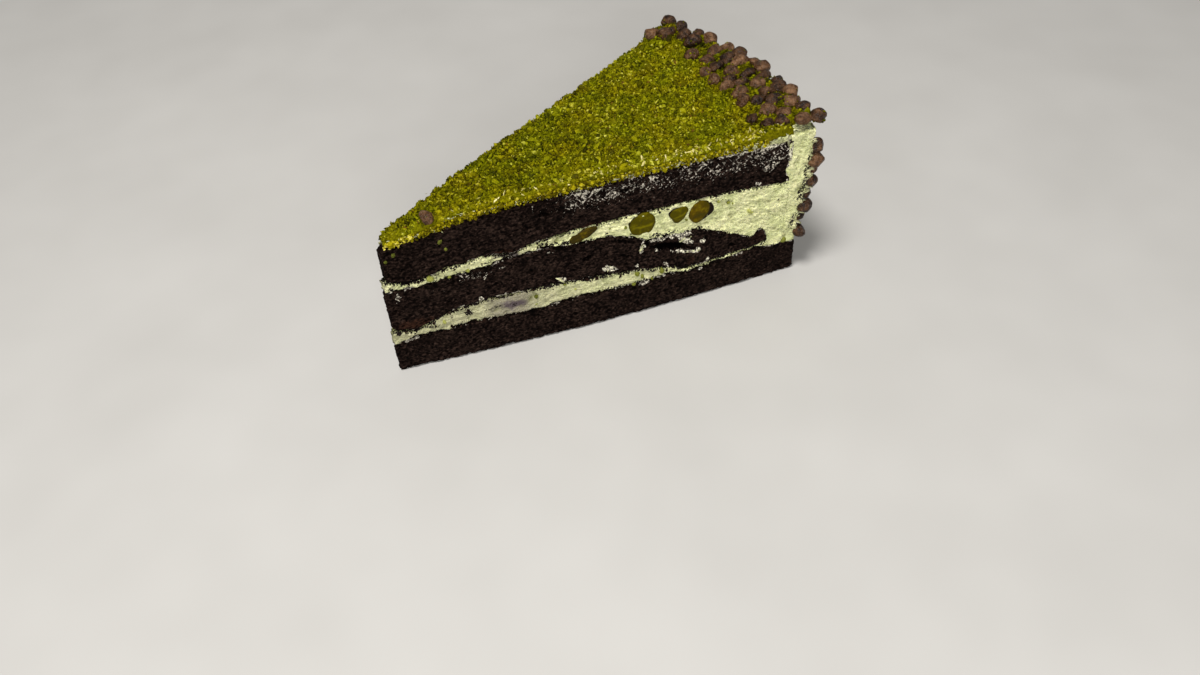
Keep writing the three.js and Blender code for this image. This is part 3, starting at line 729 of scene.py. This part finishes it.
def cream_look():
    """Cream dragged by the knife, stained and dusted with crumb in places."""
    look = Look("pistachio_cream", 0.6, 0.15, Subsurface_Weight=0.1, Subsurface_Scale=0.4 * MM,
                Subsurface_Radius=(1.0, 0.9, 0.45))
    dragged = look.noise(0.65 * MM, 3, 0.6, look.stretched(1.9, 1, 0.8, -HALF_ANGLE, math.radians(15)))
    fine = look.noise(0.45 * MM, 2, 0.5)
    dust = look.plus(look.value("crumbs"), look.spread(fine, 0.36, 0.62))
    colour = look.coated(
        CREAM_PALE,
        (look.spread(look.noise(4.5 * MM, 3), 0.38, 0.66), CREAM_GREEN),
        (look.times(look.spread(dragged, 0.51, 0.35), 0.6), CREAM_SHADE),
        (look.value("thin"), CREAM_THIN),
        # Painted shade in the sunk places of the cream.
        (look.value("pit_shade"), CREAM_SHADE),
        (look.value("stain"), CREAM_STAIN),
        (look.spread(dust, 1.0, 1.12), SPONGE_MID),
    )
    return look.finish(colour, look.plus(dragged, fine), 0.9 * MM)


def nut_colour(look, shade, cool, warm):
    """From the cool colours, or in large soft patches from the warm ones."""
    patch = look.spread(look.noise(7 * MM, 3, 0.6), 0.40, 0.64)
    return look.mix(patch, look.ramp(shade, *cool), look.ramp(shade, *warm))


def nut_bed_look():
    look = Look("pistachio_bed", 0.9, 0.02)
    grain = look.noise(0.6 * MM, 4, 0.7)
    colour = nut_colour(look, look.spread(grain, 0.34, 0.80), NUT_LEAF, NUT_WARM)
    colour = look.mix(look.times(look.value("edge"), grain), colour, NUT_BRIGHT)
    return look.finish(colour, grain, 0.6 * MM)


def nut_look(name, cool, warm):
    """Loose grains: tint, which each of them has one of, says how light it is."""
    look = Look(name, 0.6, 0.03)
    grain = look.noise(0.32 * MM, 3)
    shade = look.plus(look.value("tint"), look.times(look.math("SUBTRACT", grain, 0.5), 0.9))
    return look.finish(nut_colour(look, shade, cool, warm), grain, 0.12 * MM, 0.6)


def kernel_look():
    look = Look("pistachio_kernel", 0.4, 0.03)
    mottle = look.noise(2 * MM, 4, 0.6)
    fine = look.noise(0.4 * MM, 3)
    colour = look.coated(
        KERNEL_GREEN,
        (look.times(look.value("brown"), look.spread(mottle, 0.30, 0.55)), KERNEL_AMBER),
        (look.spread(mottle, 0.52, 0.85), KERNEL_LIGHT),
        (look.value("seam"), KERNEL_LIGHT),
        (look.times(look.value("dull"), look.spread(mottle, 0.72, 0.42)), KERNEL_DULL),
        (look.value("skin"), KERNEL_SKIN),
    )
    return look.finish(colour, look.plus(fine, mottle), 0.25 * MM, 0.5)


def chocolate_look():
    look = Look("chocolate", 0.3, 0.22)
    tone = look.noise(1.8 * MM, 4, 0.65)
    ridges = look.noise(0.7 * MM, 3, 0.6, look.stretched(1, 2.4, 1))
    shade = look.plus(look.times(tone, 0.8), look.times(look.value("tint"), 0.2))
    colour = look.ramp(shade, (0.36, CHOCOLATE_DARK), (0.52, CHOCOLATE_MID), (0.72, CHOCOLATE_LIGHT))
    return look.finish(colour, look.plus(tone, ridges), 0.75 * MM)


# ---- layers ----
def sponge_relief(seed):
    """Crumb torn open by the knife: packed granules with small and large holes among them."""
    def relief(p, depth, side):
        crumbs = 0.42 * granules(p, 1.5 * MM, seed) + 0.34 * granules(p, 0.8 * MM, seed + 3)
        rough = 0.45 * fractal(p, 3 * MM, 4, seed + 6) + 0.5 * (side == 0) * fractal(p, 4 * MM, 3, seed + 7)
        small = 0.6 * smooth(1 - bubbles(p, 2.4 * MM, seed + 9) / 0.3)
        large = 0.9 * smooth(1 - bubbles(p * (1, 1, 1.6), 6 * MM, seed + 17) / 0.2)
        rounded = 0.5 * smooth(1 - depth / (0.9 * MM))
        return (crumbs + rough - small - large - rounded - 0.5) * MM
    return relief


def torn_relief(seed):
    """As before, with the splits where the crumb has torn on the near cut."""
    whole = sponge_relief(seed)

    def relief(p, depth, side):
        ragged = 0.5 * fractal(p, 2.4 * MM, 3, 71)
        hole = np.zeros(len(p))
        for *oval, deep in TEARS:
            u, v = in_oval(along_near_cut(p), p[:, 2], *oval)
            hole = np.maximum(hole, deep * MM * smooth((1.15 - np.hypot(u, v + ragged)) / 0.5))
        return whole(p, depth, side) - np.where(side == -1, hole, 0)
    return relief


def cream_relief(seed, proud=0.1, grain=0.6, upright=False, broken=()):
    """Cream stands a little proud, in fine lines where the knife dragged it, and tucks under at its edges.

    broken lists stretches of the near cut, from and to, where it stops short, and by how much.
    """
    stretch = (0.8, 0.8, 0.35) if upright else (0.5, 0.5, 1)

    def relief(p, depth, side):
        lines = fractal(p * stretch, 1.2 * MM, 3, seed)
        lumps = fractal(p, 3.4 * MM, 3, seed + 5)
        pits = smooth(1 - bubbles(p, 1.7 * MM, seed + 41) / 0.3)
        holes = smooth(1 - bubbles(p, 6 * MM, seed + 23) / 0.11)
        ragged = fractal(p * (1.2, 1.2, 0.7), 1.8 * MM, 4, seed + 11)
        edge = smooth(0.5 + (0.8 * MM * ragged - depth) / (0.5 * MM))
        a = along_near_cut(p) / MM
        sunk = 0
        for start, end, short in broken:
            short = short + 0.8 * fractal(p, 1.5 * MM, 3, seed + 31)
            sunk = sunk + short * smooth((a - start) / 2) * smooth((end - a) / 2) * (side == -1)
        sunk = sunk + 0.5 * (side == 2)
        return (proud + grain * lines + 0.25 * lumps - 0.3 * pits - 0.5 * holes - 1.1 * edge - sunk) * MM
    return relief


def uneven(x, y, size, seed):
    return fractal(flat(x, y), size, 3, seed)


def laid(name):
    return lambda x, y: bed(name, x, y)


def ended(which):
    """The middle sponge's foot (0) or top (1)."""
    return lambda x, y: round_end(x, y)[which]


def rough(surface, seed, by=0.0, height=0.6 * MM, size=2.4 * MM):
    """A surface moved up by so much and made uneven."""
    return lambda x, y: surface(x, y) + by + height * uneven(x, y, size, seed)


def smears(points, depth):
    """Cream on the sponge: the listed spots, a band of strokes under the top, and a fringe at each edge."""
    below = bed("topTop", *plan(points)) - points[:, 2]
    patchy = 0.9 + 0.35 * fractal(points, 4 * MM, 3, 313)
    reach = smooth((from_tip(points) / MM - 40) / 20)
    band = 0.47 * patchy * reach * smooth(1.5 - below / (8 * MM))
    patchy_fringe = 0.6 + 0.8 * fractal(points, 3 * MM, 2, 317)
    fringe = patchy_fringe * smooth(1 - depth / (1.1 * MM)) * (points[:, 2] > 4 * MM) * (below > 1 * MM)
    return np.maximum.reduce([patches(points, SMEARS), band, fringe])


def sponge(name, low, high, tip, radius, relief, look, rows, rim=INSIDE):
    points, faces, uv, out, depth = slab(low, high, tip, radius, relief, rows, rim=rim)
    # Painted shade: the wall is painted dark where it sinks into pits and torn holes.
    pit_shade = smooth((-0.2 * MM - out) / (0.5 * MM))
    values = {
        "pit_shade": pit_shade,
        # Painted light on the raised granules, from how far the wall stands out.
        "raised_highlight": smooth((out - 0.05 * MM) / (0.4 * MM)),
        "red": patches(points, RED_PATCHES),
        "smear": smears(points, depth) * (1 - pit_shade),
    }
    piece(name + "_crumb", points, faces, look, [name], values=values, uv=uv)


def sponges(look):
    def torn(surface, seed):
        return rough(surface, seed, 0, 0.5 * MM, 2 * MM)

    sponge("sponge_bottom", lambda x, y: 0 * x, torn(laid("baseTop"), 31), TIP_RADIUS, BASE_RADIUS,
           sponge_relief(31), look, rows=36, rim=ON_RIM)
    sponge("sponge_middle", torn(ended(0), 51), torn(ended(1), 52), TIP_RADIUS + 0.6 * TIP_STEP,
           MIDDLE_RADIUS, torn_relief(51), look, rows=48)
    sponge("sponge_top", torn(laid("topFoot"), 61), torn(laid("topTop"), 62), TIP_RADIUS + 2 * TIP_STEP,
           TOP_RADIUS, torn_relief(61), look, rows=48)


def cream(name, low, high, tip, radius, relief, look, replaced=(), margin=OVERLAP, pull=0.0, **net):
    """Cream, with sponge showing through where it is thin, towards the tip, and crumbs at its edges where it
    lies between two sponges. pull is how far its corner with the near cut draws in."""
    points, faces, uv, out, depth = slab(low, high, tip, radius, relief, margin=margin, **net)
    along = from_tip(points) / MM
    lower = smooth((24 - points[:, 2] / MM) / 6)
    thin = 0.25 * smooth((60 - along) / 20) + 0.35 * lower * smooth((90 - along) / 10)
    thin += 0.35 * lower * smooth((44 - along) / 6) * smooth((along - 26) / 4)
    patchy = 0.45 + 0.9 * fractal(points, 3 * MM, 2, 319)
    between = (points[:, 2] < 37 * MM) * (name != "cream_side_spread")
    fringe = (patchy + 0.3 * lower) * smooth(1 - depth / (0.9 * MM)) * between
    values = {
        # Painted shade: the cream is painted darker where its wall sinks in.
        "pit_shade": 0.8 * smooth((-0.1 * MM - out) / (0.5 * MM)),
        "stain": patches(points, STAINS),
        "thin": thin,
        "crumbs": np.maximum(patches(points, CRUMBS), fringe),
    }
    inset = from_near_cut(*plan(points))
    inward = pull * smooth(1 - inset / (5 * MM)) * (1 + 0.8 * fractal(points, 2.6 * MM, 2, 321))
    points[:, :2] *= (1 - inward / np.hypot(*plan(points)))[:, None]
    piece(name, points, faces, look, replaced, values=values, uv=uv)


def creams(look):
    def upper_foot(x, y):
        inner = np.hypot(x, y) < MIDDLE_RADIUS - 0.2 * MM
        return np.where(inner, round_end(x, y)[1], bed("baseTop", x, y))

    cream("cream_lower_spread", rough(laid("baseTop"), 3, -OVERLAP), rough(ended(0), 4, OVERLAP),
          TIP_RADIUS + 0.1 * TIP_STEP, MIDDLE_RADIUS,
          cream_relief(101, broken=[(89, 114, 0.35)]), look, ["cream_lower"], rows=24)
    cream("cream_upper_spread", rough(upper_foot, 5, -OVERLAP), rough(laid("topFoot"), 6, OVERLAP),
          TIP_RADIUS + 0.9 * TIP_STEP, TOP_RADIUS + 0.4 * MM,
          cream_relief(111, broken=[(34, 40, 0.35), (44, 53, 0.35)]), look, ["cream_upper"], rows=56)
    cream("cream_top_spread", rough(laid("topTop"), 7, -0.6 * MM), lambda x, y: coat_top(x, y) - 0.2 * MM,
          TIP_RADIUS + 3 * TIP_STEP, TOP_RADIUS + 0.4 * MM,
          cream_relief(121, -0.1, broken=[(-3, 106, 1.3)]), look, margin=0.3 * MM, rows=9)
    cream("cream_side_spread", rough(laid("baseTop"), 8, -0.2 * MM), rough(coat_top, 9), TOP_RADIUS,
          COAT_RADIUS, cream_relief(131, 0.05, 0.65, upright=True), look, ["cream_coat"],
          margin=0.1 * MM, pull=0.8 * MM, rows=100, inside=ON_COAT, rim=ON_RIM)


# ---- kernels ----
def kernel(name, look, side, at, height, long, tall, tilt, lobes, corner, skin, rind, brown, dull):
    """A kernel cut through: a domed face with its seam and skin, and a rounded back inside the cake."""
    AROUND, RINGS, BACK = 60, 14, 8
    DEPTH, PROUD, DOME = 5.5 * MM, 0.3 * MM, 0.3 * MM
    SQUARE = 0.88  # below 1 its outline is squarer than an oval
    BEHIND = 1.2  # what reach, the share of the way to the edge, is said to be on its back
    turn = np.arange(AROUND) * 2 * math.pi / AROUND
    outline = 1 + lobes * np.cos(3 * (turn - math.radians(corner))) + 0.025 * np.cos(5 * turn + at)
    tilt = math.radians(tilt)
    along, outward, up = cut_axes(side)
    face_axis = along * math.cos(tilt) + up * math.sin(tilt)
    cross_axis = up * math.cos(tilt) - along * math.sin(tilt)
    cos, sin = np.cos(turn), np.sin(turn)
    ring = MM * (
        np.outer(long * outline * np.sign(cos) * np.abs(cos) ** SQUARE, face_axis)
        + np.outer(tall * outline * np.sign(sin) * np.abs(sin) ** SQUARE, cross_axis)
    )
    centre = cut_point(side, at * MM, height * MM)
    shares = np.arange(1, RINGS + 1) / RINGS
    layers = [centre + ring * s + (PROUD + DOME * (1 - s**4)) * outward for s in shares]
    reach = list(shares)
    for lean in np.linspace(0, math.pi / 2, BACK + 1):
        out = -0.5 * MM - DEPTH * math.sin(lean)
        layers.append(centre + ring * max(math.cos(lean), 0.02) + out * outward)
        reach.append(BEHIND)
    points = np.concatenate([[centre + (PROUD + DOME) * outward], *layers])
    reach = np.concatenate([[0], np.repeat(reach, AROUND)])
    skinned = np.concatenate([[0.5], np.tile(0.5 + 0.5 * np.cos(turn - math.radians(skin)), len(layers))])
    c = np.arange(AROUND)
    following = (c + 1) % AROUND
    faces = np.stack([0 * c, 1 + following, 1 + c], 1).tolist()
    for k in range(len(layers) - 1):
        a, b = 1 + k * AROUND, 1 + (k + 1) * AROUND
        faces += np.stack([a + c, a + following, b + following, b + c], 1).tolist()
    faces.append((1 + (len(layers) - 1) * AROUND + c).tolist())
    faces = [face[::side] for face in faces]
    wobble = noise(points, 2 * MM, 3)
    off_seam = np.abs((points - centre) @ cross_axis / (tall * MM) + 0.15 + 0.15 * wobble)
    values = {
        "brown": brown * (1 - 0.8 * skinned * np.minimum(reach, 1)),
        "seam": 0.7 * smooth(1 - off_seam / 0.16) * smooth((0.9 - reach) / 0.2) * (brown < 0.5),
        "dull": np.full(len(points), dull),
        "skin": smooth((reach + 0.1 * wobble - 1.02 + rind * skinned**3) / 0.08),
    }
    points = points + outward * (0.15 * MM * noise(points, 1.2 * MM, 7))[:, None]
    piece(name + "_cut", points, faces, look, [name], values=values)


# ---- chocolate balls, at the same places as in the solids ----
def random_source(seed):
    """Numbers from 0 to 1, the same ones that the solids draw."""
    state = seed
    while True:
        state = (state * 1664525 + 1013904223) % 4294967296
        yield state / 4294967296


def scatter(draw, count, distance, place, first):
    TRIES = 6000
    found = list(first)
    tries = 0
    while tries < TRIES and len(found) < count:
        p = place(draw)
        if p is not None and all(math.dist(p, q) > distance for q in found):
            found.append(p)
        tries += 1
    return found


def at_rim(radius, share, height):
    angle = lerp(-HALF_ANGLE, HALF_ANGLE, share)
    return radius * math.cos(angle), radius * math.sin(angle), height


def on_top(radius, share):
    x, y, _ = at_rim(radius, share, 0)
    return x, y, float(coat_top(x, y)) + GAP + CRUMB_THICKNESS + TOP_LIFT


def top_places(draw):
    def place(draw):
        share = lerp(CHIP_MARGIN, 1 - CHIP_MARGIN, next(draw))
        radius = lerp(CHIP_BAND[0][1] * MM, CHIP_EDGE, math.sqrt(next(draw)))
        bare = CHIP_BREAK[0] < share < CHIP_BREAK[1]
        return None if bare or radius < float(curve(CHIP_BAND, share)) * MM else on_top(radius, share)

    strays = [on_top(radius * MM, share) for radius, share in STRAY_CHIPS]
    return scatter(draw, TOP_CHIPS, TOP_SPACING, place, strays)


def side_places(draw):
    RADIUS = COAT_RADIUS + SIDE_REACH

    def place(draw):
        share = lerp(CHIP_MARGIN, 1 - CHIP_MARGIN, next(draw))
        return at_rim(RADIUS, share, lerp(SIDE_LOW, SIDE_HIGH, next(draw)) * MM)

    corner = [at_rim(RADIUS, share, height * MM) for share, height in CORNER_CHIPS]
    return scatter(draw, SIDE_CHIPS, SIDE_SPACING, place, corner)


def balls(name, seed, places, look):
    """Chunky chocolate balls. Each size and turn is drawn in the order that the solids draw them."""
    draw = random_source(seed)
    centres = places(draw)
    sizes, turns, tints = [], [], []
    for _ in centres:
        size = CHIP_DIAMETER / 2 * (1 + CHIP_SPREAD * (2 * next(draw) - 1))
        sizes.append((size, size * (0.85 + 0.2 * next(draw)), size * (0.85 + 0.2 * next(draw))))
        roll, spin = 2 * math.pi * next(draw), 2 * math.pi * next(draw)
        turns.append(np.array(Matrix.Rotation(spin, 3, "Z") @ Matrix.Rotation(roll, 3, "X")))
        tints.append(spin / (2 * math.pi))
    rng = np.random.default_rng(seed)
    shapes, faces = fragments(rng, 3, 16, 0, chops=8, depth=(0.68, 0.88))
    shapes = shapes / np.abs(shapes).max(axis=(1, 2), keepdims=True)
    for k, shape in enumerate(shapes):
        shapes[k] = shape * (1 + 0.1 * fractal(shape + 10 * k, 0.5, 3, seed))[:, None]
    kinds = rng.integers(0, len(shapes), len(centres))
    points, all_faces = many(shapes, faces, np.array(centres), np.array(sizes), np.array(turns), kinds)
    values = {"tint": np.repeat(tints, shapes.shape[1])}
    piece(name, points, all_faces, look, values=values)
    return np.array(centres), np.array(sizes)


# ---- ground pistachio ----
def bare_corner(x, y):
    """Where the coat's top shows at the end of the near cut, from 0 to 1."""
    inset = from_near_cut(x, y) / MM + 1.2 * uneven(x, y, 2 * MM, 231)
    start = 120.8 + 1.5 * uneven(x, y, 3 * MM, 233)
    return smooth((4.6 - inset) / 0.8) * smooth((np.hypot(x, y) / MM - start) / 1.2)


def crumb_height(x, y):
    """The top of the ground pistachio, under its loose grains."""
    p = flat(x, y).reshape(-1, 3)
    lumps = 0.6 * fractal(p, 3.2 * MM, 2, 201) + 0.7 * granules(p, 2.2 * MM, 203)
    lumps += 0.7 * granules(p, 0.9 * MM, 205)
    side = across(x, y)
    rounded = 0.9 * smooth((side - 0.93) / 0.07) + 0.4 * smooth(1 - from_near_cut(x, y) / (1.2 * MM))
    mound = 1.5 * smooth((np.hypot(x, y) / MM - curve(CHIP_BAND, side) + 2) / 3)
    for radius, share in STRAY_CHIPS:
        ball_x, ball_y, _ = at_rim(radius * MM, share, 0)
        away = np.hypot(x - ball_x, y - ball_y) / (0.6 * CHIP_DIAMETER)
        mound = np.maximum(mound, 0.6 * smooth(1.8 - away))
    bare = bare_corner(x, y)
    height = 0.5 + lumps.reshape(np.shape(x)) - rounded + mound * (1 - bare) - 2.6 * bare
    return coat_top(x, y) + height * MM


def crumb_bed(look):
    def relief(p, depth, side):
        return (-0.2 + 0.7 * fractal(p, 1.8 * MM, 3, 211) - 0.6 * (side == 2)) * MM

    def foot(x, y):
        hang = 1.1 + 0.9 * uneven(x, y, 2.4 * MM, 221)
        front = smooth(1 - from_near_cut(x, y) / (2 * MM)) * smooth((108 * MM - np.hypot(x, y)) / (12 * MM))
        return np.minimum(coat_top(x, y) - (0.1 + front * hang) * MM, crumb_height(x, y) - 0.2 * MM)

    points, faces, uv, _, _ = slab(foot, crumb_height, CRUMB_TIP, COAT_RADIUS - 1.2 * MM, relief,
                                   rows=8, inside=ON_TOP, rim=ON_TOP)
    inset = from_near_cut(*plan(points))
    edge = smooth(1.2 - inset / (4 * MM) + 0.8 * noise(points, 5 * MM, 7))
    piece("pistachio_bed", points, faces, look, ["pistachio_crumb"], values={"edge": edge}, uv=uv)


def grains(name, look, place, tint, long=1.0, few=False):
    """Broken grains of nut. place gives the middles of so many, and tint a number for each. long stretches
    them, and few makes each with few sides."""
    seed, count, size = GRAINS[name]
    centres = place(count)
    tints = tint(centres)
    rng = np.random.default_rng(seed)
    shapes, faces = slivers(rng) if few else fragments(rng, 1, GRAIN_KINDS, 0.12)
    sizes = rng.lognormal(math.log(size * MM / 2), 0.35, len(centres))[:, None]
    sizes = sizes * rng.uniform(0.6, 1.3, (len(centres), 3)) * (long, 1, 1)
    turns, kinds = random_turns(rng, len(centres)), rng.integers(0, len(shapes), len(centres))
    points, all_faces = many(shapes, faces, centres, sizes, turns, kinds)
    values = {"tint": np.repeat(tints, shapes.shape[1])}
    piece(name, points, all_faces, look, shade=False, values=values)


def slivers(rng):
    """Several broken octahedra."""
    ends = np.concatenate([np.eye(3), -np.eye(3)])
    faces = [(0, 1, 2), (1, 3, 2), (3, 4, 2), (4, 0, 2), (1, 0, 5), (3, 1, 5), (4, 3, 5), (0, 4, 5)]
    return ends + rng.uniform(-0.3, 0.3, (GRAIN_KINDS, 6, 3)), np.array(faces)


def over_top(rng, count):
    """Even places over the ground pistachio."""
    radius = np.sqrt(rng.uniform(CRUMB_TIP**2, (COAT_RADIUS - 0.8 * MM) ** 2, count))
    angle = lerp(-HALF_ANGLE, HALF_ANGLE, rng.uniform(0, 1, count))
    x, y = radius * np.cos(angle), radius * np.sin(angle)
    lift = rng.uniform(-0.15, 0.3, count) * MM
    return np.stack([x, y, crumb_height(x, y) + lift], axis=1)[bare_corner(x, y) < 0.3]


def near_edge(rng, count, last):
    """Places along the top of the near cut, hanging a little over it, out to a distance from the tip."""
    at = rng.uniform(CRUMB_TIP - TIP_RADIUS, last, count)
    top = coat_top(*cut_point(-1, at, 0 * at).T[:2])
    height = top + (0.4 - 2.4 * rng.beta(1.2, 1.8, count)) * MM
    return cut_point(-1, at, height, rng.uniform(-0.4, 0.35, count) * MM)


def on_balls(rng, centres, sizes, count):
    """Places on the sides of the chocolate balls."""
    way = rng.normal(size=(count, 3))
    way[:, 2] *= 0.5
    way /= np.linalg.norm(way, axis=1, keepdims=True)
    chosen = rng.integers(0, len(centres), count)
    return centres[chosen] + way * sizes[chosen] * 0.85


def on_edge(rng, count):
    """Places on the top, within a few millimetres of the near cut."""
    inset = rng.gamma(2, 0.6, count) * MM
    place = cut_point(-1, (6 + 111 * rng.beta(2, 1, count)) * MM, 0 * inset, -inset)
    place[:, 2] = crumb_height(*plan(place)) + rng.uniform(0.1, 0.5, count) * MM
    return place


def ground_pistachio(top_centres, top_sizes):
    rng = np.random.default_rng(401)

    def cover(count):
        return over_top(rng, count)

    def past_tip(count):
        places = cover(count)
        return places[from_tip(places) > 8 * MM]

    def patchy(centres):
        """Soft patches, bright along the near cut, darker at the tip, and with painted shade among the
        chocolate balls.
        """
        x, y, _ = centres.T
        patch = 0.12 * fractal(centres, 6 * MM, 3, 409)
        patch -= 0.07 * smooth((80 * MM - from_tip(centres)) / (40 * MM))
        patch += 0.14 * smooth(1.1 - from_near_cut(x, y) / (4 * MM))
        # Painted shade: grains among the chocolate balls are made darker.
        among = 0.14 * smooth((np.hypot(x, y) / MM - curve(CHIP_BAND, across(x, y)) + 2) / 3)
        return 0.95 * rng.beta(1.7, 2.5, len(centres)) + patch - among

    def edge_tint(centres):
        """Brightest near the tip."""
        at_tip = 0.4 * smooth((13 * MM - along_near_cut(centres)) / (8 * MM))
        return 0.95 * rng.beta(1.2, 2.0, len(centres)) + at_tip

    green = nut_look("nut_green", NUT_LEAF, NUT_WARM)
    grains("pistachio_green", green, cover, patchy)
    grains("pistachio_lumps", green, past_tip, lambda centres: 0.85 * patchy(centres))
    grains("pistachio_slivers", green, cover, patchy, 1.8, few=True)
    grains("pistachio_edge", nut_look("nut_yellow", NUT_EDGE, NUT_AMBER),
           lambda count: near_edge(rng, count, 114 * MM), edge_tint)
    grains("pistachio_curls", nut_look("nut_curl", NUT_CURL, NUT_CURL),
           lambda count: on_edge(rng, count), lambda centres: rng.uniform(0, 1, len(centres)), 5.0)
    grains("pistachio_skin", nut_look("nut_skin", NUT_SKIN, NUT_SKIN),
           cover, lambda centres: rng.beta(2, 2, len(centres)))
    grains("pistachio_dust", green,
           lambda count: on_balls(rng, top_centres, top_sizes, count),
           lambda centres: 0.65 * rng.beta(1.5, 2.4, len(centres)))


# ---- small pieces on the cuts ----
def flecks(name, seed, spots, look, value, stretch):
    """Broken pieces of one kind that lie on the near cut at the given spots, which also say how many there
    are and their size, and half as many on the far cut. stretch scales them along the cut, out and up."""
    rng = np.random.default_rng(seed)
    shapes, faces = fragments(rng, 1, 16, 0.1, depth=(0.3, 0.8))
    centres, sizes, sides = [], [], []
    for at, height, long, tall, count, size in spots:
        for side, share in ((-1, 1.0), (1, 0.5)):
            here = int(count * share)
            a = at + long * rng.uniform(-1, 1, here)
            h = height + tall * rng.normal(0, 0.6, here).clip(-1.2, 1.2)
            centres.append(cut_point(side, a * MM, h * MM, rng.uniform(-0.15, 0.15, here) * MM))
            scale = rng.lognormal(math.log(size / 2 * MM), 0.4, here)[:, None]
            sizes.append(scale * rng.uniform(0.6, 1.4, (here, 3)) * stretch)
            sides += [side] * here
    centres, sizes = np.concatenate(centres), np.concatenate(sizes)
    kinds = rng.integers(0, len(shapes), len(centres))
    points, all_faces = many(shapes, faces, centres, sizes, cut_turns(rng, sides, 0.6), kinds)
    values = {}
    for key, ends in value.items():
        values[key] = np.repeat(rng.uniform(*ends, len(centres)), shapes.shape[1])
    piece(name, points, all_faces, look, values=values)


def bits(name, spots, look):
    """Single lumps on the near cut."""
    rng = np.random.default_rng(317)
    shapes, faces = fragments(rng, 2, 8, 0.06)
    a, h, size, tint = np.array(spots).T
    centres = cut_point(-1, a * MM, h * MM, np.full(len(a), 0.05 * MM))
    sizes = size[:, None] * MM / 2 * rng.uniform(0.7, 1.25, (len(a), 3))
    kinds = rng.integers(0, len(shapes), len(a))
    points, all_faces = many(shapes, faces, centres, sizes, random_turns(rng, len(a)), kinds)
    piece(name, points, all_faces, look, values={"tint": np.repeat(tint, shapes.shape[1])})


def sponge_crumb_spots():
    """Sponge crumbs fall on the cream all along its edges: every 5 mm of each."""
    spots = []
    for name in ("baseTop", "middleFoot", "middleTop", "topFoot"):
        for at in np.arange(5, 114, 5):
            spots.append((at, float(curve(BEDS[name]["near"], at)), 2.5, 1.0, 5, 0.5))
    return spots


# ---- the set ----
def camera():
    data = bpy.data.cameras.new("camera")
    data.lens = CAMERA_LENS
    data.sensor_width = CAMERA_SENSOR
    data.clip_start = 0.01
    made = add("camera", data)
    h, p = CAMERA_HEADING, CAMERA_PITCH
    forward = np.array([math.sin(h) * math.cos(p), math.cos(h) * math.cos(p), -math.sin(p)])
    right = np.array([math.cos(h), -math.sin(h), 0])
    up = np.cross(right, forward)
    turned_right = math.cos(CAMERA_ROLL) * right + math.sin(CAMERA_ROLL) * up
    turned_up = math.cos(CAMERA_ROLL) * up - math.sin(CAMERA_ROLL) * right
    columns = [turned_right, turned_up, -forward, CAMERA_PLACE + CAKE_CENTRE]
    made.matrix_world = Matrix([[column[k] for column in columns] for k in range(3)] + [[0, 0, 0, 1]])
    bpy.context.scene.camera = made


def lamp(name, place, size, power, colour):
    data = bpy.data.lights.new(name, "AREA")
    data.shape = "DISK"
    data.size = size
    data.energy = power
    data.color = colour
    made = add(name, data)
    made.location = place
    made.rotation_euler = (-Vector(place)).to_track_quat("-Z", "Y").to_euler()


def studio():
    world = bpy.data.worlds.new("studio")
    world.use_nodes = True
    background = world.node_tree.nodes["Background"]
    background.inputs["Color"].default_value = SKY
    background.inputs["Strength"].default_value = SKY_STRENGTH
    bpy.context.scene.world = world
    for numbers in LAMPS:
        lamp(*numbers)
    bpy.context.scene.view_settings.view_transform = "Standard"


def floor():
    data = bpy.data.meshes.new("floor")
    turns = ((-1, -1), (1, -1), (1, 1), (-1, 1))
    data.from_pydata([(x * FLOOR_HALF, y * FLOOR_HALF, 0) for x, y in turns], [], [(0, 1, 2, 3)])
    look = Look("floor", 0.6)
    colour = look.ramp(look.noise(0.05, 2), (0.3, FLOOR_DARK), (0.7, FLOOR_LIGHT))
    data.materials.append(look.finish(colour))
    made = add("floor", data)


# ---- the slice ----
camera()
studio()
floor()

sponge_made = sponge_look()
cream_made = cream_look()
chocolate = chocolate_look()
sponges(sponge_made)
creams(cream_made)
shred_values = {"stain": (0, 0.3), "thin": (0, 0.5)}
flecks("cream_shreds", 307, SHREDS, cream_made, shred_values, (2.4, 0.8, 0.7))
flecks("sponge_crumbs", 309, sponge_crumb_spots(), sponge_made, {"red": (0, 0.3)}, (1, 0.8, 1))
bits("pistachio_bits", GREEN_BITS, nut_look("nut_bits", NUT_SOAKED, NUT_SOAKED))
cut_kernel = kernel_look()
for node, numbers in KERNELS.items():
    kernel(node, cut_kernel, *numbers)
top_centres, top_sizes = balls("chocolate_balls_top", 23, top_places, chocolate)
balls("chocolate_balls_side", 37, side_places, chocolate)
crumb_bed(nut_bed_look())
ground_pistachio(top_centres, top_sizes)
